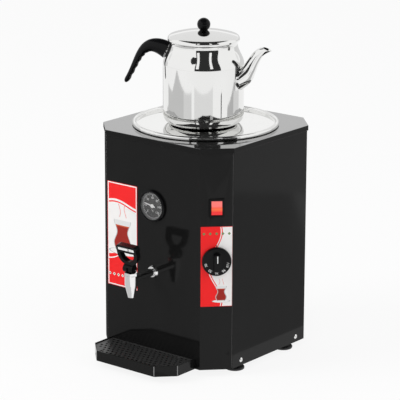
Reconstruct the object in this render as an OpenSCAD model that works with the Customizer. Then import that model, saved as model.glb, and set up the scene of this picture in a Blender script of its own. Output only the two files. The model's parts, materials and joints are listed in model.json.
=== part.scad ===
// Counter-top tea urn: an eight-sided boiler with one tap, a thermometer, a switch and a thermostat,
// a drip tray in front, and a steel teapot that stands in a shallow pan over the water tank.
// The origin is the middle of the footprint on the counter. +Z is up and the tap faces -Y.

/* [Body] */
// Width of the casing across its side panels
body_w = 280; // [270:1:300]
// Depth of the casing from front panel to rear panel
body_d = 280; // [270:1:300]
// Leg of each chamfered corner
corner_leg = 38.5; // [36:0.5:44]
// Height from the underside of the base to the top of the cover
body_h = 383; // [370:1:420]
// Thickness of the casing sheet
sheet = 1.2; // [1:0.1:1.6]
// Height of the cover's downturned lip
lip_h = 9; // [7:0.5:14]
// How far the cover stands out beyond the panels
lip_overhang = 2; // [1.8:0.1:4]
// Width of the return flanges behind the side panels
flange_w = 14; // [10:1:20]
// Gap at the seams beside the side panels
seam = 0.7; // [0.2:0.1:0.8]
// Height of the base pan's upturned wall
base_wall_h = 26; // [20:1:40]
// Height of the panel screws above the base
screw_h = 10; // [8:0.5:14]
// Distance between the two screws of a side panel
screw_span = 154; // [120:1:170]
// Distance between the two screws of the rear panel
rear_screw_span = 140; // [120:1:160]
// Radius of a panel screw's shank
screw_r = 2; // [1.5:0.1:2.5]
// Radius of a panel screw's head
screw_head_r = 4; // [3.2:0.1:5]
// Number of vent slots in the rear panel
vent_count = 7; // [3:1:9]
// Height of one vent slot
vent_h = 3; // [2:0.5:4]
// Length of one vent slot
vent_w = 60; // [40:1:80]
// Step from one vent slot to the next
vent_step = 9; // [7:0.5:10]
// Height of the lowest vent slot
vent_z = 60; // [50:1:80]

/* [Feet] */
// Radius of a foot's disc
foot_r = 16.5; // [12:0.5:17]
// Thickness of a foot's disc
foot_disc_h = 5; // [3:0.5:8]
// Height of the neck above a foot's disc
foot_neck_h = 2; // [1:0.5:4]
// Radius of a foot's threaded stud
foot_stud_r = 4; // [3:0.5:5]
// Distance of a foot's axis from the side panel
foot_inset_x = 20; // [18:1:40]
// Distance of a foot's axis from the front or rear panel
foot_inset_y = 72; // [50:1:80]
// Height of the nut above the base on each stud
foot_top_nut_h = 6.5; // [5:0.5:8]
// Height of the lock nut below the base on each stud
foot_lock_nut_h = 5; // [4:0.5:8]
// Width across the flats of a stud's nuts
foot_nut_af = 13; // [11:0.5:17]

/* [Tank] */
// Gap between the water tank and the nearest panel
tank_gap = 30; // [26:1:40]
// Wall thickness of the tank
tank_wall = 1; // [0.8:0.1:1.5]
// Height of the tap's shank above the tank's floor
tap_above_floor = 25; // [22:1:34]
// Width of the tank's flange that rests on the cover
tank_flange_w = 9; // [7:0.5:12]
// Thickness of the wool jacket round the tank
jacket_t = 9; // [6:0.5:10]
// Bare height of tank left under the cover and above the floor
jacket_margin = 16; // [12:1:30]
// Radius of a post under the tank
post_r = 5; // [4:0.5:7]
// Distance of the posts from the tank's wall
post_inset = 18; // [14:1:30]
// Radius of the heating element's tube
heater_tube_r = 4.2; // [3.2:0.1:5]
// Distance of the heating element's ring from the tank's wall
heater_inset = 38; // [34:1:55]
// Height of the element's ring above the tank's floor
heater_rise = 10; // [8:0.5:12]
// Length of the element's legs below the tank's floor
heater_leg = 26; // [20:1:40]
// Radius of the safety cut-out under the tank
cutout_r = 12.5; // [10:0.5:15]
// Height of the safety cut-out
cutout_h = 12; // [8:0.5:16]

/* [Pan] */
// How far the pan's rolled rim reaches past the tank's wall
pan_overhang = 15; // [12:0.5:22]
// Radius of the roll along the pan's rim
rim_roll = 3.5; // [3:0.1:4.5]
// Height of the pan's rim above the cover
pan_rim_h = 7.5; // [7:0.5:12]
// Sheet thickness of the pan
pan_t = 1; // [0.8:0.1:1.5]
// Gap between the pan's downturned edge and the cover
pan_edge_gap = 1.5; // [1:0.1:2.5]
// Depth of the spigot under the pan
spigot_h = 2.5; // [2:0.5:14]
// Clearance of the spigot in the tank's mouth
spigot_gap = 0.5; // [0.4:0.1:1]

/* [Tap] */
// Height of the tap's shank above the base
tap_h = 153; // [140:1:175]
// Distance of the tap's outlet from the front panel
tap_reach = 56.5; // [48:0.5:66]
// Radius of the valve chamber
chamber_r = 11; // [10:0.25:12.5]
// Length of the nozzle's cone below the chamber
nozzle_h = 22; // [18:1:30]
// Radius of the nozzle's end
nozzle_r = 5.6; // [5:0.1:7]
// Radius of the water way in the nozzle
way_r = 3.4; // [2.5:0.1:3.8]
// Radius of the shank
shank_r = 7; // [6.4:0.1:8]
// Radius of the shank's bore
shank_bore_r = 4; // [3:0.1:4.5]
// Radius of the round flange on the front panel
flange_r = 11; // [11:0.5:16]
// Width across the flats of the bonnet
bonnet_af = 21; // [20:0.5:23]
// Height of the bonnet above the chamber
bonnet_h = 5.2; // [5:0.1:8]
// Radius of the valve stem
stem_r = 2.5; // [2:0.1:3]
// Thickness of the stem's flattened end
stem_tab_t = 2.4; // [2:0.1:3]
// Radius of the lever's pin
lever_pin_r = 1.6; // [1.2:0.1:2]
// Radius of the lever's two cams
cam_r = 7; // [6.5:0.1:7.5]
// Width of the lever across its cams
lever_w = 20; // [18:0.5:24]
// Outer radius of the lever's loop
loop_r = 21.5; // [20:0.5:24]
// Thickness of the loop's arms
loop_arm = 7; // [6:0.25:8]
// Depth of the loop from front to rear
loop_depth = 9; // [7:0.5:11]
// Height of the loop's cross bar
bar_h = 12.5; // [11:0.5:15]
// Forward lean of the loop in degrees
lever_lean = 12; // [8:0.5:15]
// Length of the inlay in the cross bar
inlay_w = 34; // [24:1:38]
// Height of the inlay in the cross bar
inlay_h = 4.6; // [3.6:0.2:6]

/* [Gauge] */
// Height of the thermometer's middle above the base
gauge_h = 268; // [250:1:300]
// Radius of the thermometer's bezel
bezel_r = 27.5; // [25:0.5:32]
// Width of the bezel's ring
bezel_w = 4; // [3:0.5:5]
// How far the thermometer stands out of the panel
gauge_out = 5.5; // [5.25:0.25:11]
// Depth of the thermometer's case behind the panel
gauge_in = 12; // [8:0.5:14]
// Radius of the thermometer's stem
gauge_stem_r = 4; // [3:0.25:5]
// How far the thermometer's stem reaches into the water
gauge_stem_reach = 28; // [20:1:40]
// Direction of the pointer at rest in degrees from the right
pointer_deg = 168; // [130:1:220]

/* [Controls] */
// Height of the knob's middle above the base
knob_h = 191; // [180:1:200]
// Radius of the knob's skirt
knob_r = 24.5; // [22:0.5:25.5]
// Thickness of the knob's skirt
knob_skirt_h = 6; // [4:0.5:8]
// Thickness of the knob's bar grip
knob_bar_w = 11; // [9:0.5:16]
// Height of the knob's bar grip above the skirt
grip_h = 12; // [8:0.5:16]
// Gap between the knob and its plate
knob_gap = 0.6; // [0.4:0.1:1.5]
// Radius of the thermostat's shaft
shaft_r = 3; // [2.5:0.1:3.5]
// Width of the thermostat's body
thermostat_w = 36; // [30:1:40]
// Depth of the thermostat's body
thermostat_d = 30; // [24:1:32]
// Height of the switch's middle above the base
switch_h = 282; // [275:1:300]
// Width of the switch's bezel
switch_w = 25; // [23:0.5:28]
// Length of the switch's bezel
switch_l = 31; // [29:0.5:34]
// Thickness of the switch's bezel
switch_bezel_t = 2; // [1.5:0.1:3]
// Width of the frame round the rocker
switch_frame = 3.7; // [2.4:0.1:4]
// Depth of the switch's body behind the panel
switch_depth = 24; // [20:1:30]
// Tilt of the rocker to either side in degrees
rocker_tilt = 9; // [6:0.5:11]

/* [Plates] */
// Width of the control plate
plate_w = 52.5; // [50:0.5:53]
// Length of the control plate
plate_l = 138; // [120:1:144]
// Height of the control plate's lower edge above the base
plate_z = 112; // [108:1:125]
// Thickness of the control plate
plate_t = 0.8; // [0.5:0.1:1.2]
// Width of the front label plate
label_w = 65.5; // [50:0.5:67]
// Length of the front label plate
label_l = 183; // [150:1:200]
// Height of the label plate's lower edge above the base
label_z = 112; // [100:1:130]
// Thickness of the label plate
label_t = 0.5; // [0.3:0.1:0.8]
// Gap from the left front bend to the label plate
label_inset = 1.5; // [1:0.5:6]

/* [Drip tray] */
// Width of the drip tray
tray_w = 183; // [170:1:198]
// How far the tray reaches in front of the panel
tray_reach = 74; // [66:1:90]
// Height of the tray's wall
tray_h = 18; // [15:0.5:24]
// Leg of the tray's two chamfered corners
tray_leg = 28; // [20:1:34]
// Depth of the perforated plate below the tray's edge
grid_drop = 1.6; // [1:0.1:3]
// Radius of one drain hole
drain_r = 2.5; // [2:0.1:3]
// Step from one drain hole to the next
drain_step = 9.4; // [8.5:0.1:12]
// Clearance of the perforated plate in the tray
grid_gap = 0.6; // [0.4:0.1:1]
// Width of the tongue that slides under the base
tongue_w = 120; // [90:1:150]
// Length of the tongue under the base
tongue_l = 78; // [60:1:84]
// Thickness of the tongue
tongue_t = 1.5; // [1.2:0.1:2]

/* [Teapot] */
// Place of the pot's axis across the pan
pot_x = -3; // [-12:0.5:12]
// Place of the pot's axis along the pan
pot_y = -2.5; // [-12:0.5:12]
// Turn of the spout from the right-hand side in degrees
pot_turn = 19; // [0:1:30]
// Radius of the pot's body
pot_r = 69; // [66:0.5:72]
// Radius of the pot's neck
neck_r = 57.5; // [54:0.5:60]
// Height of the pot to its rim
pot_h = 144; // [142:0.5:150]
// Drop from the pot's rim to the start of its shoulder
shoulder_drop = 42; // [38:0.5:43]
// Radius of the rounding at the pot's foot
foot_round = 17; // [12:0.5:22]
// Wall thickness of the pot
pot_t = 1.2; // [0.8:0.1:1.6]
// Radius of the pot lid's rim
lid_r = 61; // [60.5:0.5:64]
// Rise of the lid's dome
lid_rise = 10; // [6:0.5:14]
// Height of the lid's edge below its dome
lid_edge = 6.5; // [4:0.5:9]
// Rounding between the lid's edge and its dome
lid_round = 6; // [3:0.5:8]
// Depth of the lid's inner ring
lid_ring_h = 8; // [5:0.5:12]
// Clearance of the lid's ring in the pot's mouth
lid_gap = 0.6; // [0.4:0.1:1.2]
// Radius of the lid knob's ball
ball_r = 11.2; // [9:0.2:11.6]
// Radius of the lid knob's neck
ball_neck_r = 7; // [4.6:0.2:7]
// Height of the ball's middle above the lid
ball_h = 9.5; // [8:0.5:20]
// Half depth of the pot's handle where it meets the pot
grip_half = 9.5; // [8:0.5:11]
// Height of the finger waves along the handle
wave = 1.1; // [0.6:0.1:1.6]

/* [Hidden] */
$fn = 72;

// Clearances
touch = 0.3;
run_fit = 0.05;
thread_fit = 0.1;
eps = 0.5;

// Levels
base_z = foot_disc_h + foot_neck_h + foot_lock_nut_h;
floor_z = base_z + sheet;
cover_z = base_z + body_h;
panel_h = body_h - sheet;
flange_z = base_z + base_wall_h + 1;
tank_floor_z = base_z + tap_h - tap_above_floor;
pan_floor_z = cover_z + tank_wall + pan_t;

// Places on the plan
bend_y = body_d / 2 - corner_leg;
corner_face = (body_w / 2 + body_d / 2 - corner_leg) / sqrt(2);
corner_shift = (body_w - body_d) / 2 * sqrt(0.5);
axis_y = (tray_reach - lip_overhang) / 2;
foot_span_x = body_w - 2 * foot_inset_x;
foot_span_y = body_d - 2 * foot_inset_y;
tank_r = min(body_w, body_d) / 2 - tank_gap;
shell_gap = body_d / 2 - tank_r;
post_ring_r = tank_r - post_inset;
heater_ring_r = tank_r - heater_inset;
pan_r = tank_r + pan_overhang;

// Finishes
gloss_black = "#18181a";
satin_black = "#26262a";
steel = "#c9ccd0";
chrome = "#dfe2e6";
brass = "#c9a54a";

module at_urn() { translate([0, axis_y, 0]) children(); }
module on_front(h) { translate([0, -body_d / 2, base_z + h]) children(); }
module on_rear(h) { translate([0, body_d / 2, base_z + h]) children(); }
module on_corner(h) { rotate([0, 0, 45]) translate([corner_shift, -corner_face, base_z + h]) children(); }
module on_tap() { on_front(tap_h) translate([0, -tap_reach, 0]) children(); }
module at_pot() { translate([pot_x, pot_y, pan_floor_z]) rotate([0, 0, pot_turn]) children(); }

module rod_x(r, x0, x1) { translate([x0, 0, 0]) rotate([0, 90, 0]) cylinder(r = r, h = x1 - x0); }
module rod_y(r, y0, y1) { translate([0, y0, 0]) rotate([-90, 0, 0]) cylinder(r = r, h = y1 - y0); }
module rod_z(r, z0, z1) { translate([0, 0, z0]) cylinder(r = r, h = z1 - z0); }
module tube_y(r, bore, y0, y1) {
    difference() {
        rod_y(r, y0, y1);
        rod_y(bore, y0 - eps, y1 + eps);
    }
}
module tube_z(r, bore, z0, z1) {
    difference() {
        rod_z(r, z0, z1);
        rod_z(bore, z0 - eps, z1 + eps);
    }
}
module hex_z(af, bore, z0, z1) {
    difference() {
        translate([0, 0, z0]) cylinder(d = af / cos(30), h = z1 - z0, $fn = 6);
        rod_z(bore, z0 - eps, z1 + eps);
    }
}
module hex_y(af, bore, y0, y1) { rotate([-90, 0, 0]) hex_z(af, bore, y0, y1); }
module block(x, y0, y1, z) { translate([-x / 2, y0, -z / 2]) cube([x, y1 - y0, z]); }
module cone_z(r0, r1, z0, z1) { translate([0, 0, z0]) cylinder(r1 = r0, r2 = r1, h = z1 - z0); }

// Casing
module octagon(w, d, leg) {
    polygon([
        [-w / 2 + leg, -d / 2], [w / 2 - leg, -d / 2], [w / 2, -d / 2 + leg], [w / 2, d / 2 - leg],
        [w / 2 - leg, d / 2], [-w / 2 + leg, d / 2], [-w / 2, d / 2 - leg], [-w / 2, -d / 2 + leg]
    ]);
}
module outline(inset) {
    octagon(body_w - 2 * inset, body_d - 2 * inset, corner_leg - inset * (2 - sqrt(2)));
}
module sheet_ring(inset, z, h) {
    translate([0, 0, z]) linear_extrude(h) difference() {
        outline(inset);
        outline(inset + sheet);
    }
}
module slab(y0, y1) { translate([-body_w, y0, 0]) cube([2 * body_w, y1 - y0, 2 * body_h]); }

// A front or rear panel: one flat face, two chamfers and the return flanges behind the side panels
module bent_panel() {
    intersection() {
        sheet_ring(0, base_z, panel_h);
        slab(-body_d, -bend_y);
    }
    intersection() {
        sheet_ring(sheet, flange_z, base_z + panel_h - flange_z);
        slab(-bend_y - sheet, -bend_y + flange_w);
    }
}

module base_pan() {
    color(satin_black) difference() {
        union() {
            translate([0, 0, base_z]) linear_extrude(sheet) outline(sheet);
            sheet_ring(sheet, base_z, base_wall_h);
        }
        for (x = [-1, 1], y = [-1, 1]) {
            translate([x * foot_span_x / 2, y * foot_span_y / 2, 0])
                rod_z(foot_stud_r + touch, base_z - eps, floor_z + eps);
        }
        panel_screw_places() rod_z(screw_r + thread_fit, -screw_head_r, 2 * screw_head_r);
    }
}

module front_panel() {
    color(gloss_black) difference() {
        bent_panel();
        on_front(gauge_h) rod_y(gauge_case_r + touch, -eps, sheet + eps);
        on_front(tap_h) rod_y(shank_r + touch, -eps, sheet + eps);
        on_corner(knob_h) rod_y(bush_r + touch, -eps, sheet + eps);
        on_corner(switch_h)
            block(switch_body_w + 2 * touch, -eps, sheet + eps, switch_body_l + 2 * touch);
    }
}

module rear_panel() {
    color(gloss_black) difference() {
        rotate([0, 0, 180]) bent_panel();
        for (i = [0 : vent_count - 1]) {
            on_rear(vent_z + i * vent_step) block(vent_w, -sheet - eps, eps, vent_h);
        }
        at_gland() rod_y(gland_thread_r + thread_fit, -3 * sheet, eps);
        panel_screw_places() rod_z(screw_r + touch, -screw_head_r, 2 * screw_head_r);
    }
}

module side_panel() {
    difference() {
        intersection() {
            sheet_ring(0, base_z, panel_h);
            slab(-bend_y + seam, bend_y - seam);
            translate([0, -body_d, 0]) cube([body_w, 2 * body_d, 2 * body_h]);
        }
        panel_screw_places() rod_z(screw_r + touch, -screw_head_r, 2 * screw_head_r);
    }
}
module side_panel_right() { color(gloss_black) side_panel(); }
module side_panel_left() { color(gloss_black) rotate([0, 0, 180]) side_panel(); }

module top_cover() {
    color(gloss_black) difference() {
        union() {
            translate([0, 0, cover_z - sheet]) linear_extrude(sheet) outline(-lip_overhang);
            sheet_ring(-lip_overhang, cover_z - lip_h, lip_h);
        }
        rod_z(tank_r + touch, cover_z - 2 * sheet, cover_z + eps);
    }
}

// Screws of the side panels and of the rear panel, each with its axis pointing out of the casing
module panel_screw_places() {
    for (side = [0, 180], y = [-1, 1]) {
        rotate([0, 0, side]) translate([body_w / 2, y * screw_span / 2, base_z + screw_h])
            rotate([0, 90, 0]) children();
    }
    for (x = [-1, 1]) {
        on_rear(screw_h) translate([x * rear_screw_span / 2, 0, 0]) rotate([-90, 0, 0]) children();
    }
}
screw_len = 8;
screw_dome = 2.4;
module panel_screws() {
    color(chrome) panel_screw_places() {
        rod_z(screw_r, -screw_len, 0);
        intersection() {
            rod_z(screw_head_r, 0, screw_dome);
            translate([0, 0, screw_dome - dome_ball_r]) sphere(dome_ball_r);
        }
    }
}
dome_flat = 0.6;
dome_ball_r = (screw_head_r * screw_head_r + screw_dome * screw_dome) / (2 * screw_dome) + dome_flat;

// Cable entry low on the left rear corner, with its axis pointing out along +Y
gland_h = 46;
gland_thread_r = 8;
gland_bore_r = 4.5;
gland_af = 22;
gland_dome_r = 9.5;
gland_flange_h = 5;
gland_dome_h = 13;
gland_thread_l = 12;
gland_nut_h = 5;
module at_gland() { rotate([0, 0, 180]) on_corner(gland_h) rotate([0, 0, 180]) children(); }
module cable_gland() {
    color(satin_black) at_gland() {
        hex_y(gland_af, gland_bore_r, 0, gland_flange_h);
        tube_y(gland_thread_r, gland_bore_r, -gland_thread_l, 0);
        rotate([-90, 0, 0]) difference() {
            cone_z(gland_dome_r, gland_dome_r - 2.5, gland_flange_h, gland_flange_h + gland_dome_h);
            rod_z(gland_bore_r, gland_flange_h - eps, gland_flange_h + gland_dome_h + eps);
        }
    }
}
module gland_nut() {
    color(satin_black) at_gland()
        hex_y(gland_af, gland_thread_r + thread_fit, -sheet - gland_nut_h, -sheet);
}

// Feet
module foot(x, y) {
    translate([x * foot_span_x / 2, y * foot_span_y / 2, 0]) color(satin_black) rotate_extrude() polygon([
        [0, 0], [foot_r - 1, 0], [foot_r, 1], [foot_r, foot_disc_h - 1.5], [foot_r - 1.5, foot_disc_h],
        [foot_neck_r, foot_disc_h], [foot_neck_r, foot_disc_h + foot_neck_h],
        [foot_stud_r, foot_disc_h + foot_neck_h], [foot_stud_r, foot_stud_top], [0, foot_stud_top]
    ]);
}
foot_neck_r = foot_stud_r + 3;
foot_stud_top = floor_z + foot_top_nut_h + 3;
module foot_front_left() { foot(-1, -1); }
module foot_front_right() { foot(1, -1); }
module foot_rear_left() { foot(-1, 1); }
module foot_rear_right() { foot(1, 1); }
module foot_nuts() {
    color(chrome) for (x = [-1, 1], y = [-1, 1]) {
        translate([x * foot_span_x / 2, y * foot_span_y / 2, 0]) {
            hex_z(foot_nut_af, foot_stud_r + run_fit, base_z - foot_lock_nut_h, base_z);
            hex_z(foot_nut_af, foot_stud_r + run_fit, floor_z, floor_z + foot_top_nut_h);
        }
    }
}

// Water tank, its posts, jacket and heater
tank_in = tank_r - tank_wall;
jacket_in = tank_r + touch;
jacket_low = tank_floor_z + jacket_margin / 4;
heater_open = 22;
heater_end = 4;
heater_leg_r = 0.85 * heater_tube_r;
heater_leg_y = heater_ring_r * sin(heater_open);
heater_leg_x = heater_ring_r * cos(heater_open);
heater_z = tank_floor_z + tank_wall + heater_rise;
post_deg = 64;
bulb_drop = 12;
bulb_r = 3.2;
bulb_reach = 24;
module at_bulb() {
    on_corner(knob_h) translate([0, corner_face - tank_in, -thermostat_w / 2 - bulb_drop]) children();
}
module heater_legs() {
    for (y = [-1, 1]) translate([heater_leg_x, y * heater_leg_y, 0]) children();
}
module tank() {
    color(steel) difference() {
        rotate_extrude($fn = 144) polygon([
            [0, tank_floor_z], [tank_r, tank_floor_z], [tank_r, cover_z],
            [tank_r + tank_flange_w, cover_z], [tank_r + tank_flange_w, cover_z + tank_wall],
            [tank_in, cover_z + tank_wall], [tank_in, tank_floor_z + tank_wall], [0, tank_floor_z + tank_wall]
        ]);
        on_front(tap_h) rod_y(shank_r + thread_fit, 0, body_d / 2);
        on_front(gauge_h) rod_y(gauge_stem_r + thread_fit, 0, body_d / 2);
        heater_legs() rod_z(heater_leg_r + thread_fit, tank_floor_z - eps, tank_floor_z + tank_wall + eps);
        at_bulb() rod_y(bulb_r + thread_fit, -3 * tank_wall, 3 * tank_wall);
    }
}
module tank_posts() {
    color(steel) for (a = [0 : 90 : 270]) {
        rotate([0, 0, a + post_deg]) translate([post_ring_r, 0, 0]) rod_z(post_r, floor_z, tank_floor_z);
    }
}
module insulation_jacket() {
    color("#d8d2c0") difference() {
        tube_z(jacket_in + jacket_t, jacket_in, jacket_low, cover_z - sheet - jacket_margin);
        on_front(tap_h) rod_y(shank_nut_af, 0, body_d / 2);
        on_front(gauge_h) rod_y(gauge_stem_r + 4, 0, body_d / 2);
        at_bulb() rod_y(bulb_r + 4, -4 * jacket_t, jacket_t);
    }
}
module heating_element() {
    color("#8d8f92") {
        translate([0, 0, heater_z]) rotate([0, 0, heater_open - heater_end])
            rotate_extrude(angle = 360 - 2 * heater_open + 2 * heater_end)
                translate([heater_ring_r, 0]) circle(heater_tube_r);
        heater_legs() {
            rod_z(heater_leg_r, tank_floor_z - heater_leg, heater_z);
            rod_z(heater_leg_r / 2, tank_floor_z - heater_leg - 8, tank_floor_z - heater_leg);
        }
    }
}
module heater_nuts() {
    heater_nut_h = 5;
    color(brass) heater_legs()
        hex_z(4 * heater_leg_r, heater_leg_r + thread_fit, tank_floor_z - heater_nut_h, tank_floor_z);
}
module safety_cutout() {
    color(satin_black) translate([0, post_ring_r / 3, 0]) {
        rod_z(cutout_r, tank_floor_z - cutout_h, tank_floor_z);
        for (x = [-1, 1]) translate([x * cutout_r / 2, 0, 0])
            rod_z(1.5, tank_floor_z - cutout_h - 6, tank_floor_z - cutout_h);
    }
}
module terminal_block() {
    terminal_l = 46;
    terminal_w = 22;
    terminal_h = 18;
    color("#e8e4d8") difference() {
        translate([-terminal_l / 2, terminal_w, floor_z]) cube([terminal_l, terminal_w, terminal_h]);
        for (i = [-1 : 1]) {
            translate([i * terminal_l / 3.2, terminal_w * 1.5, 0])
                rod_z(4, floor_z + terminal_h / 2, floor_z + terminal_h + eps);
        }
    }
}

// Tap: the shank runs along +Y at height 0 and the nozzle points down
chamber_drop = 9;
seat_drop = 13;
chamber_bottom = -chamber_drop;
chamber_top = shank_r + touch;
seat_z = -seat_drop;
chamber_wall = 3.5;
chamber_bore_r = chamber_r - chamber_wall;
nozzle_z = chamber_bottom - nozzle_h;
bonnet_top = chamber_top + bonnet_h;
bonnet_spigot = 4;
shank_tail = 14;
shank_end = tap_reach + shell_gap + shank_tail;
shank_nut_af = 22;
shank_nut_h = 6;
washer_t = 3;
washer_r = 12;
seal_t = 3;
collar_t = 2;
tap_nut_ys = [tap_reach + sheet, tap_reach + shell_gap - washer_t - shank_nut_h,
    tap_reach + shell_gap + tank_wall + washer_t];
module tap_body() {
    color(chrome) on_tap() difference() {
        union() {
            rod_z(chamber_r, chamber_bottom, chamber_top);
            cone_z(nozzle_r, chamber_r, nozzle_z, chamber_bottom);
            rod_y(shank_r, 0, shank_end);
        }
        rod_z(chamber_bore_r, seat_z, chamber_top + eps);
        rod_z(way_r, nozzle_z - eps, seat_z + eps);
        rod_y(shank_bore_r, 0, shank_end + eps);
    }
}
module tap_flange() {
    color(chrome) on_tap() difference() {
        rotate([90, 0, 0]) cone_z(flange_r, flange_r - 2, -tap_reach, 4 - tap_reach);
        rod_y(shank_r + thread_fit, 0, 2 * tap_reach);
    }
}
module tap_nuts() {
    color(brass) on_tap() for (y = tap_nut_ys) {
        hex_y(shank_nut_af, shank_r + thread_fit, y, y + shank_nut_h);
    }
}
// Silicone washers that follow the tank's curve on either side of its wall
module washer_blank() {
    on_front(tap_h)
        tube_y(washer_r, shank_r + thread_fit, shell_gap - washer_t, shell_gap + tank_wall + washer_t);
}
module tap_washers() {
    color("#d9563a") {
        difference() {
            washer_blank();
            rod_z(tank_r, tank_floor_z, cover_z);
        }
        intersection() {
            washer_blank();
            rod_z(tank_in, tank_floor_z, cover_z);
        }
    }
}
module tap_bonnet() {
    color(chrome) on_tap() {
        hex_z(bonnet_af, stem_r + run_fit, chamber_top, bonnet_top);
        tube_z(chamber_bore_r - thread_fit, stem_r + run_fit, chamber_top - bonnet_spigot, chamber_top);
    }
}
module tap_spring() {
    color(steel) on_tap()
        tube_z(stem_r + 3, stem_r + 0.8, seat_z + seal_t + collar_t, chamber_top - bonnet_spigot);
}

// The pin rides on the stem. The eccentric cams roll on the bonnet and draw the stem up.
cam_low = 5;
cam_gap = 0.3;
cam_back = 3.5;
cam_up = cam_r - cam_low;
pin_z = bonnet_top + cam_gap + cam_low;
tab_w = 7;
tab_sunk = 4;
tab_neck = 2 * sqrt(stem_r * stem_r - stem_tab_t * stem_tab_t / 4) - 0.3;
tab_slot = stem_tab_t + 0.8;
module on_pin() { on_tap() translate([0, 0, pin_z]) children(); }
module tap_stem() {
    color(chrome) {
        on_tap() {
            rod_z(stem_r + 2.5, seat_z + seal_t, seat_z + seal_t + collar_t);
            rod_z(stem_r, seat_z + seal_t, bonnet_top - tab_sunk);
        }
        on_pin() difference() {
            union() {
                rod_x(tab_w / 2, -stem_tab_t / 2, stem_tab_t / 2);
                translate([-stem_tab_t / 2, -tab_neck / 2, bonnet_top - pin_z - tab_sunk - 1])
                    cube([stem_tab_t, tab_neck, pin_z - bonnet_top + tab_sunk + 1]);
            }
            rod_x(lever_pin_r + run_fit / 5, -tab_w, tab_w);
        }
    }
}
module tap_seal() {
    color("#e9e6de") on_tap() rod_z(chamber_bore_r - 1.3, seat_z, seat_z + seal_t);
}
module lever_pin() { color(chrome) on_pin() rod_x(lever_pin_r, -lever_w / 2 - 1, lever_w / 2 + 1); }

loop_rise = 8.5;
bar_rise = 2.5;
bar_proud = 1;
neck_inset = 1;
pin_cover = 1;
loop_z = loop_r + loop_rise;
bar_z = loop_z + bar_rise;
bar_depth = loop_depth + 2 * bar_proud;
lever_neck = lever_w - 2 * neck_inset;
lever_neck_z = lever_pin_r + pin_cover;
module tap_lever() {
    color(gloss_black) on_pin() difference() {
        union() {
            translate([0, -cam_back, cam_up]) rod_x(cam_r, -lever_w / 2, lever_w / 2);
            rotate([lever_lean, 0, 0]) {
                translate([-lever_neck / 2, -loop_depth / 2, lever_neck_z])
                    cube([lever_neck, loop_depth, loop_z - loop_r + loop_arm / 2 - lever_neck_z]);
                upright(loop_depth) loop_outline();
                upright(bar_depth) bar_outline();
            }
        }
        translate([-tab_slot / 2, -2 * cam_r, -2 * cam_r])
            cube([tab_slot, 4 * cam_r, 2 * cam_r + tab_w / 2 + 1]);
        rod_x(lever_pin_r + run_fit, -lever_w, lever_w);
        rotate([lever_lean, 0, 0]) translate([0, -bar_depth / 2, bar_z + bar_h / 2])
            block(inlay_w, -eps, inlay_t, inlay_h);
    }
}
module upright(t) { translate([0, t / 2, 0]) rotate([90, 0, 0]) linear_extrude(t) children(); }
module loop_outline() {
    difference() {
        intersection() {
            translate([0, loop_z]) circle(loop_r);
            translate([-loop_r, 0]) square([2 * loop_r, bar_z + bar_h / 2]);
        }
        intersection() {
            translate([0, loop_z]) circle(loop_r - loop_arm);
            translate([-loop_r, 0]) square([2 * loop_r, bar_z]);
        }
    }
}
bar_round = 5;
bar_round_steps = 6;
module bar_outline() {
    x = loop_r - bar_round;
    z = bar_h / 2 - bar_round;
    translate([0, bar_z + bar_h / 2]) polygon([
        for (c = [[x, z, 0], [-x, z, 90], [-x, -z, 180], [x, -z, 270]], i = [0 : bar_round_steps])
            let (a = c[2] + 90 * i / bar_round_steps)
            [c[0] + bar_round * cos(a), c[1] + bar_round * sin(a)]
    ]);
}
inlay_t = 0.8;
module lever_inlay() {
    color("white") on_pin() rotate([lever_lean, 0, 0])
        translate([0, -bar_depth / 2, bar_z + bar_h / 2]) block(inlay_w, 0, inlay_t, inlay_h);
}

// Thermometer on the front panel, with the panel's face at y = 0
gauge_wall = 2;
dial_sunk = 4.4;
gauge_case_r = bezel_r - bezel_w - gauge_wall;
dial_y = -gauge_out + dial_sunk;
dial_t = 0.6;
glass_t = 1.4;
pointer_y = dial_y - 1;
pointer_t = 0.4;
pointer_l = gauge_case_r - 4;
spindle_r = 1;
module gauge_case() {
    color(satin_black) on_front(gauge_h) difference() {
        union() {
            rod_y(bezel_r - bezel_w / 2, dial_y + dial_t, 0);
            rod_y(gauge_case_r, 0, gauge_in);
        }
        rod_y(gauge_case_r - gauge_wall, dial_y + dial_t + gauge_wall, gauge_in - gauge_wall);
        rod_y(spindle_r + run_fit, -gauge_out, gauge_in - gauge_wall);
    }
}
module gauge_dial() {
    color("#141416") on_front(gauge_h)
        tube_y(bezel_r - bezel_w / 2, spindle_r + 0.5, dial_y, dial_y + dial_t);
}
module gauge_pointer() {
    color("white") on_front(gauge_h) {
        rod_y(spindle_r, pointer_y + pointer_t / 2, gauge_in - 3);
        rod_y(3.4, pointer_y - pointer_t, pointer_y + pointer_t);
        rotate([0, -pointer_deg, 0]) rotate([90, 0, 0]) translate([0, 0, -pointer_y - pointer_t / 2])
            linear_extrude(pointer_t) polygon([
                [-6, -1], [0, -1.3], [pointer_l, -0.4], [pointer_l, 0.4], [0, 1.3], [-6, 1]
            ]);
    }
}
module gauge_glass() {
    color([0.85, 0.9, 0.95, 0.4]) on_front(gauge_h)
        rod_y(bezel_r - bezel_w / 2, -gauge_out + 1, -gauge_out + 1 + glass_t);
}
module gauge_bezel() {
    color(gloss_black) on_front(gauge_h) difference() {
        rotate([90, 0, 0]) {
            rod_z(bezel_r, 0, gauge_out - 2);
            cone_z(bezel_r, bezel_r - 1.5, gauge_out - 2, gauge_out);
        }
        rod_y(bezel_r - bezel_w, -2 * gauge_out, eps);
        rod_y(bezel_r - bezel_w / 2 + thread_fit, -gauge_out + 1, eps);
    }
}
module gauge_stem() {
    color(brass) on_front(gauge_h) {
        rod_y(gauge_stem_r, gauge_in, shell_gap + gauge_stem_reach);
        hex_y(3 * gauge_stem_r, gauge_stem_r - eps, gauge_in, gauge_in + 5);
    }
}

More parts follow.
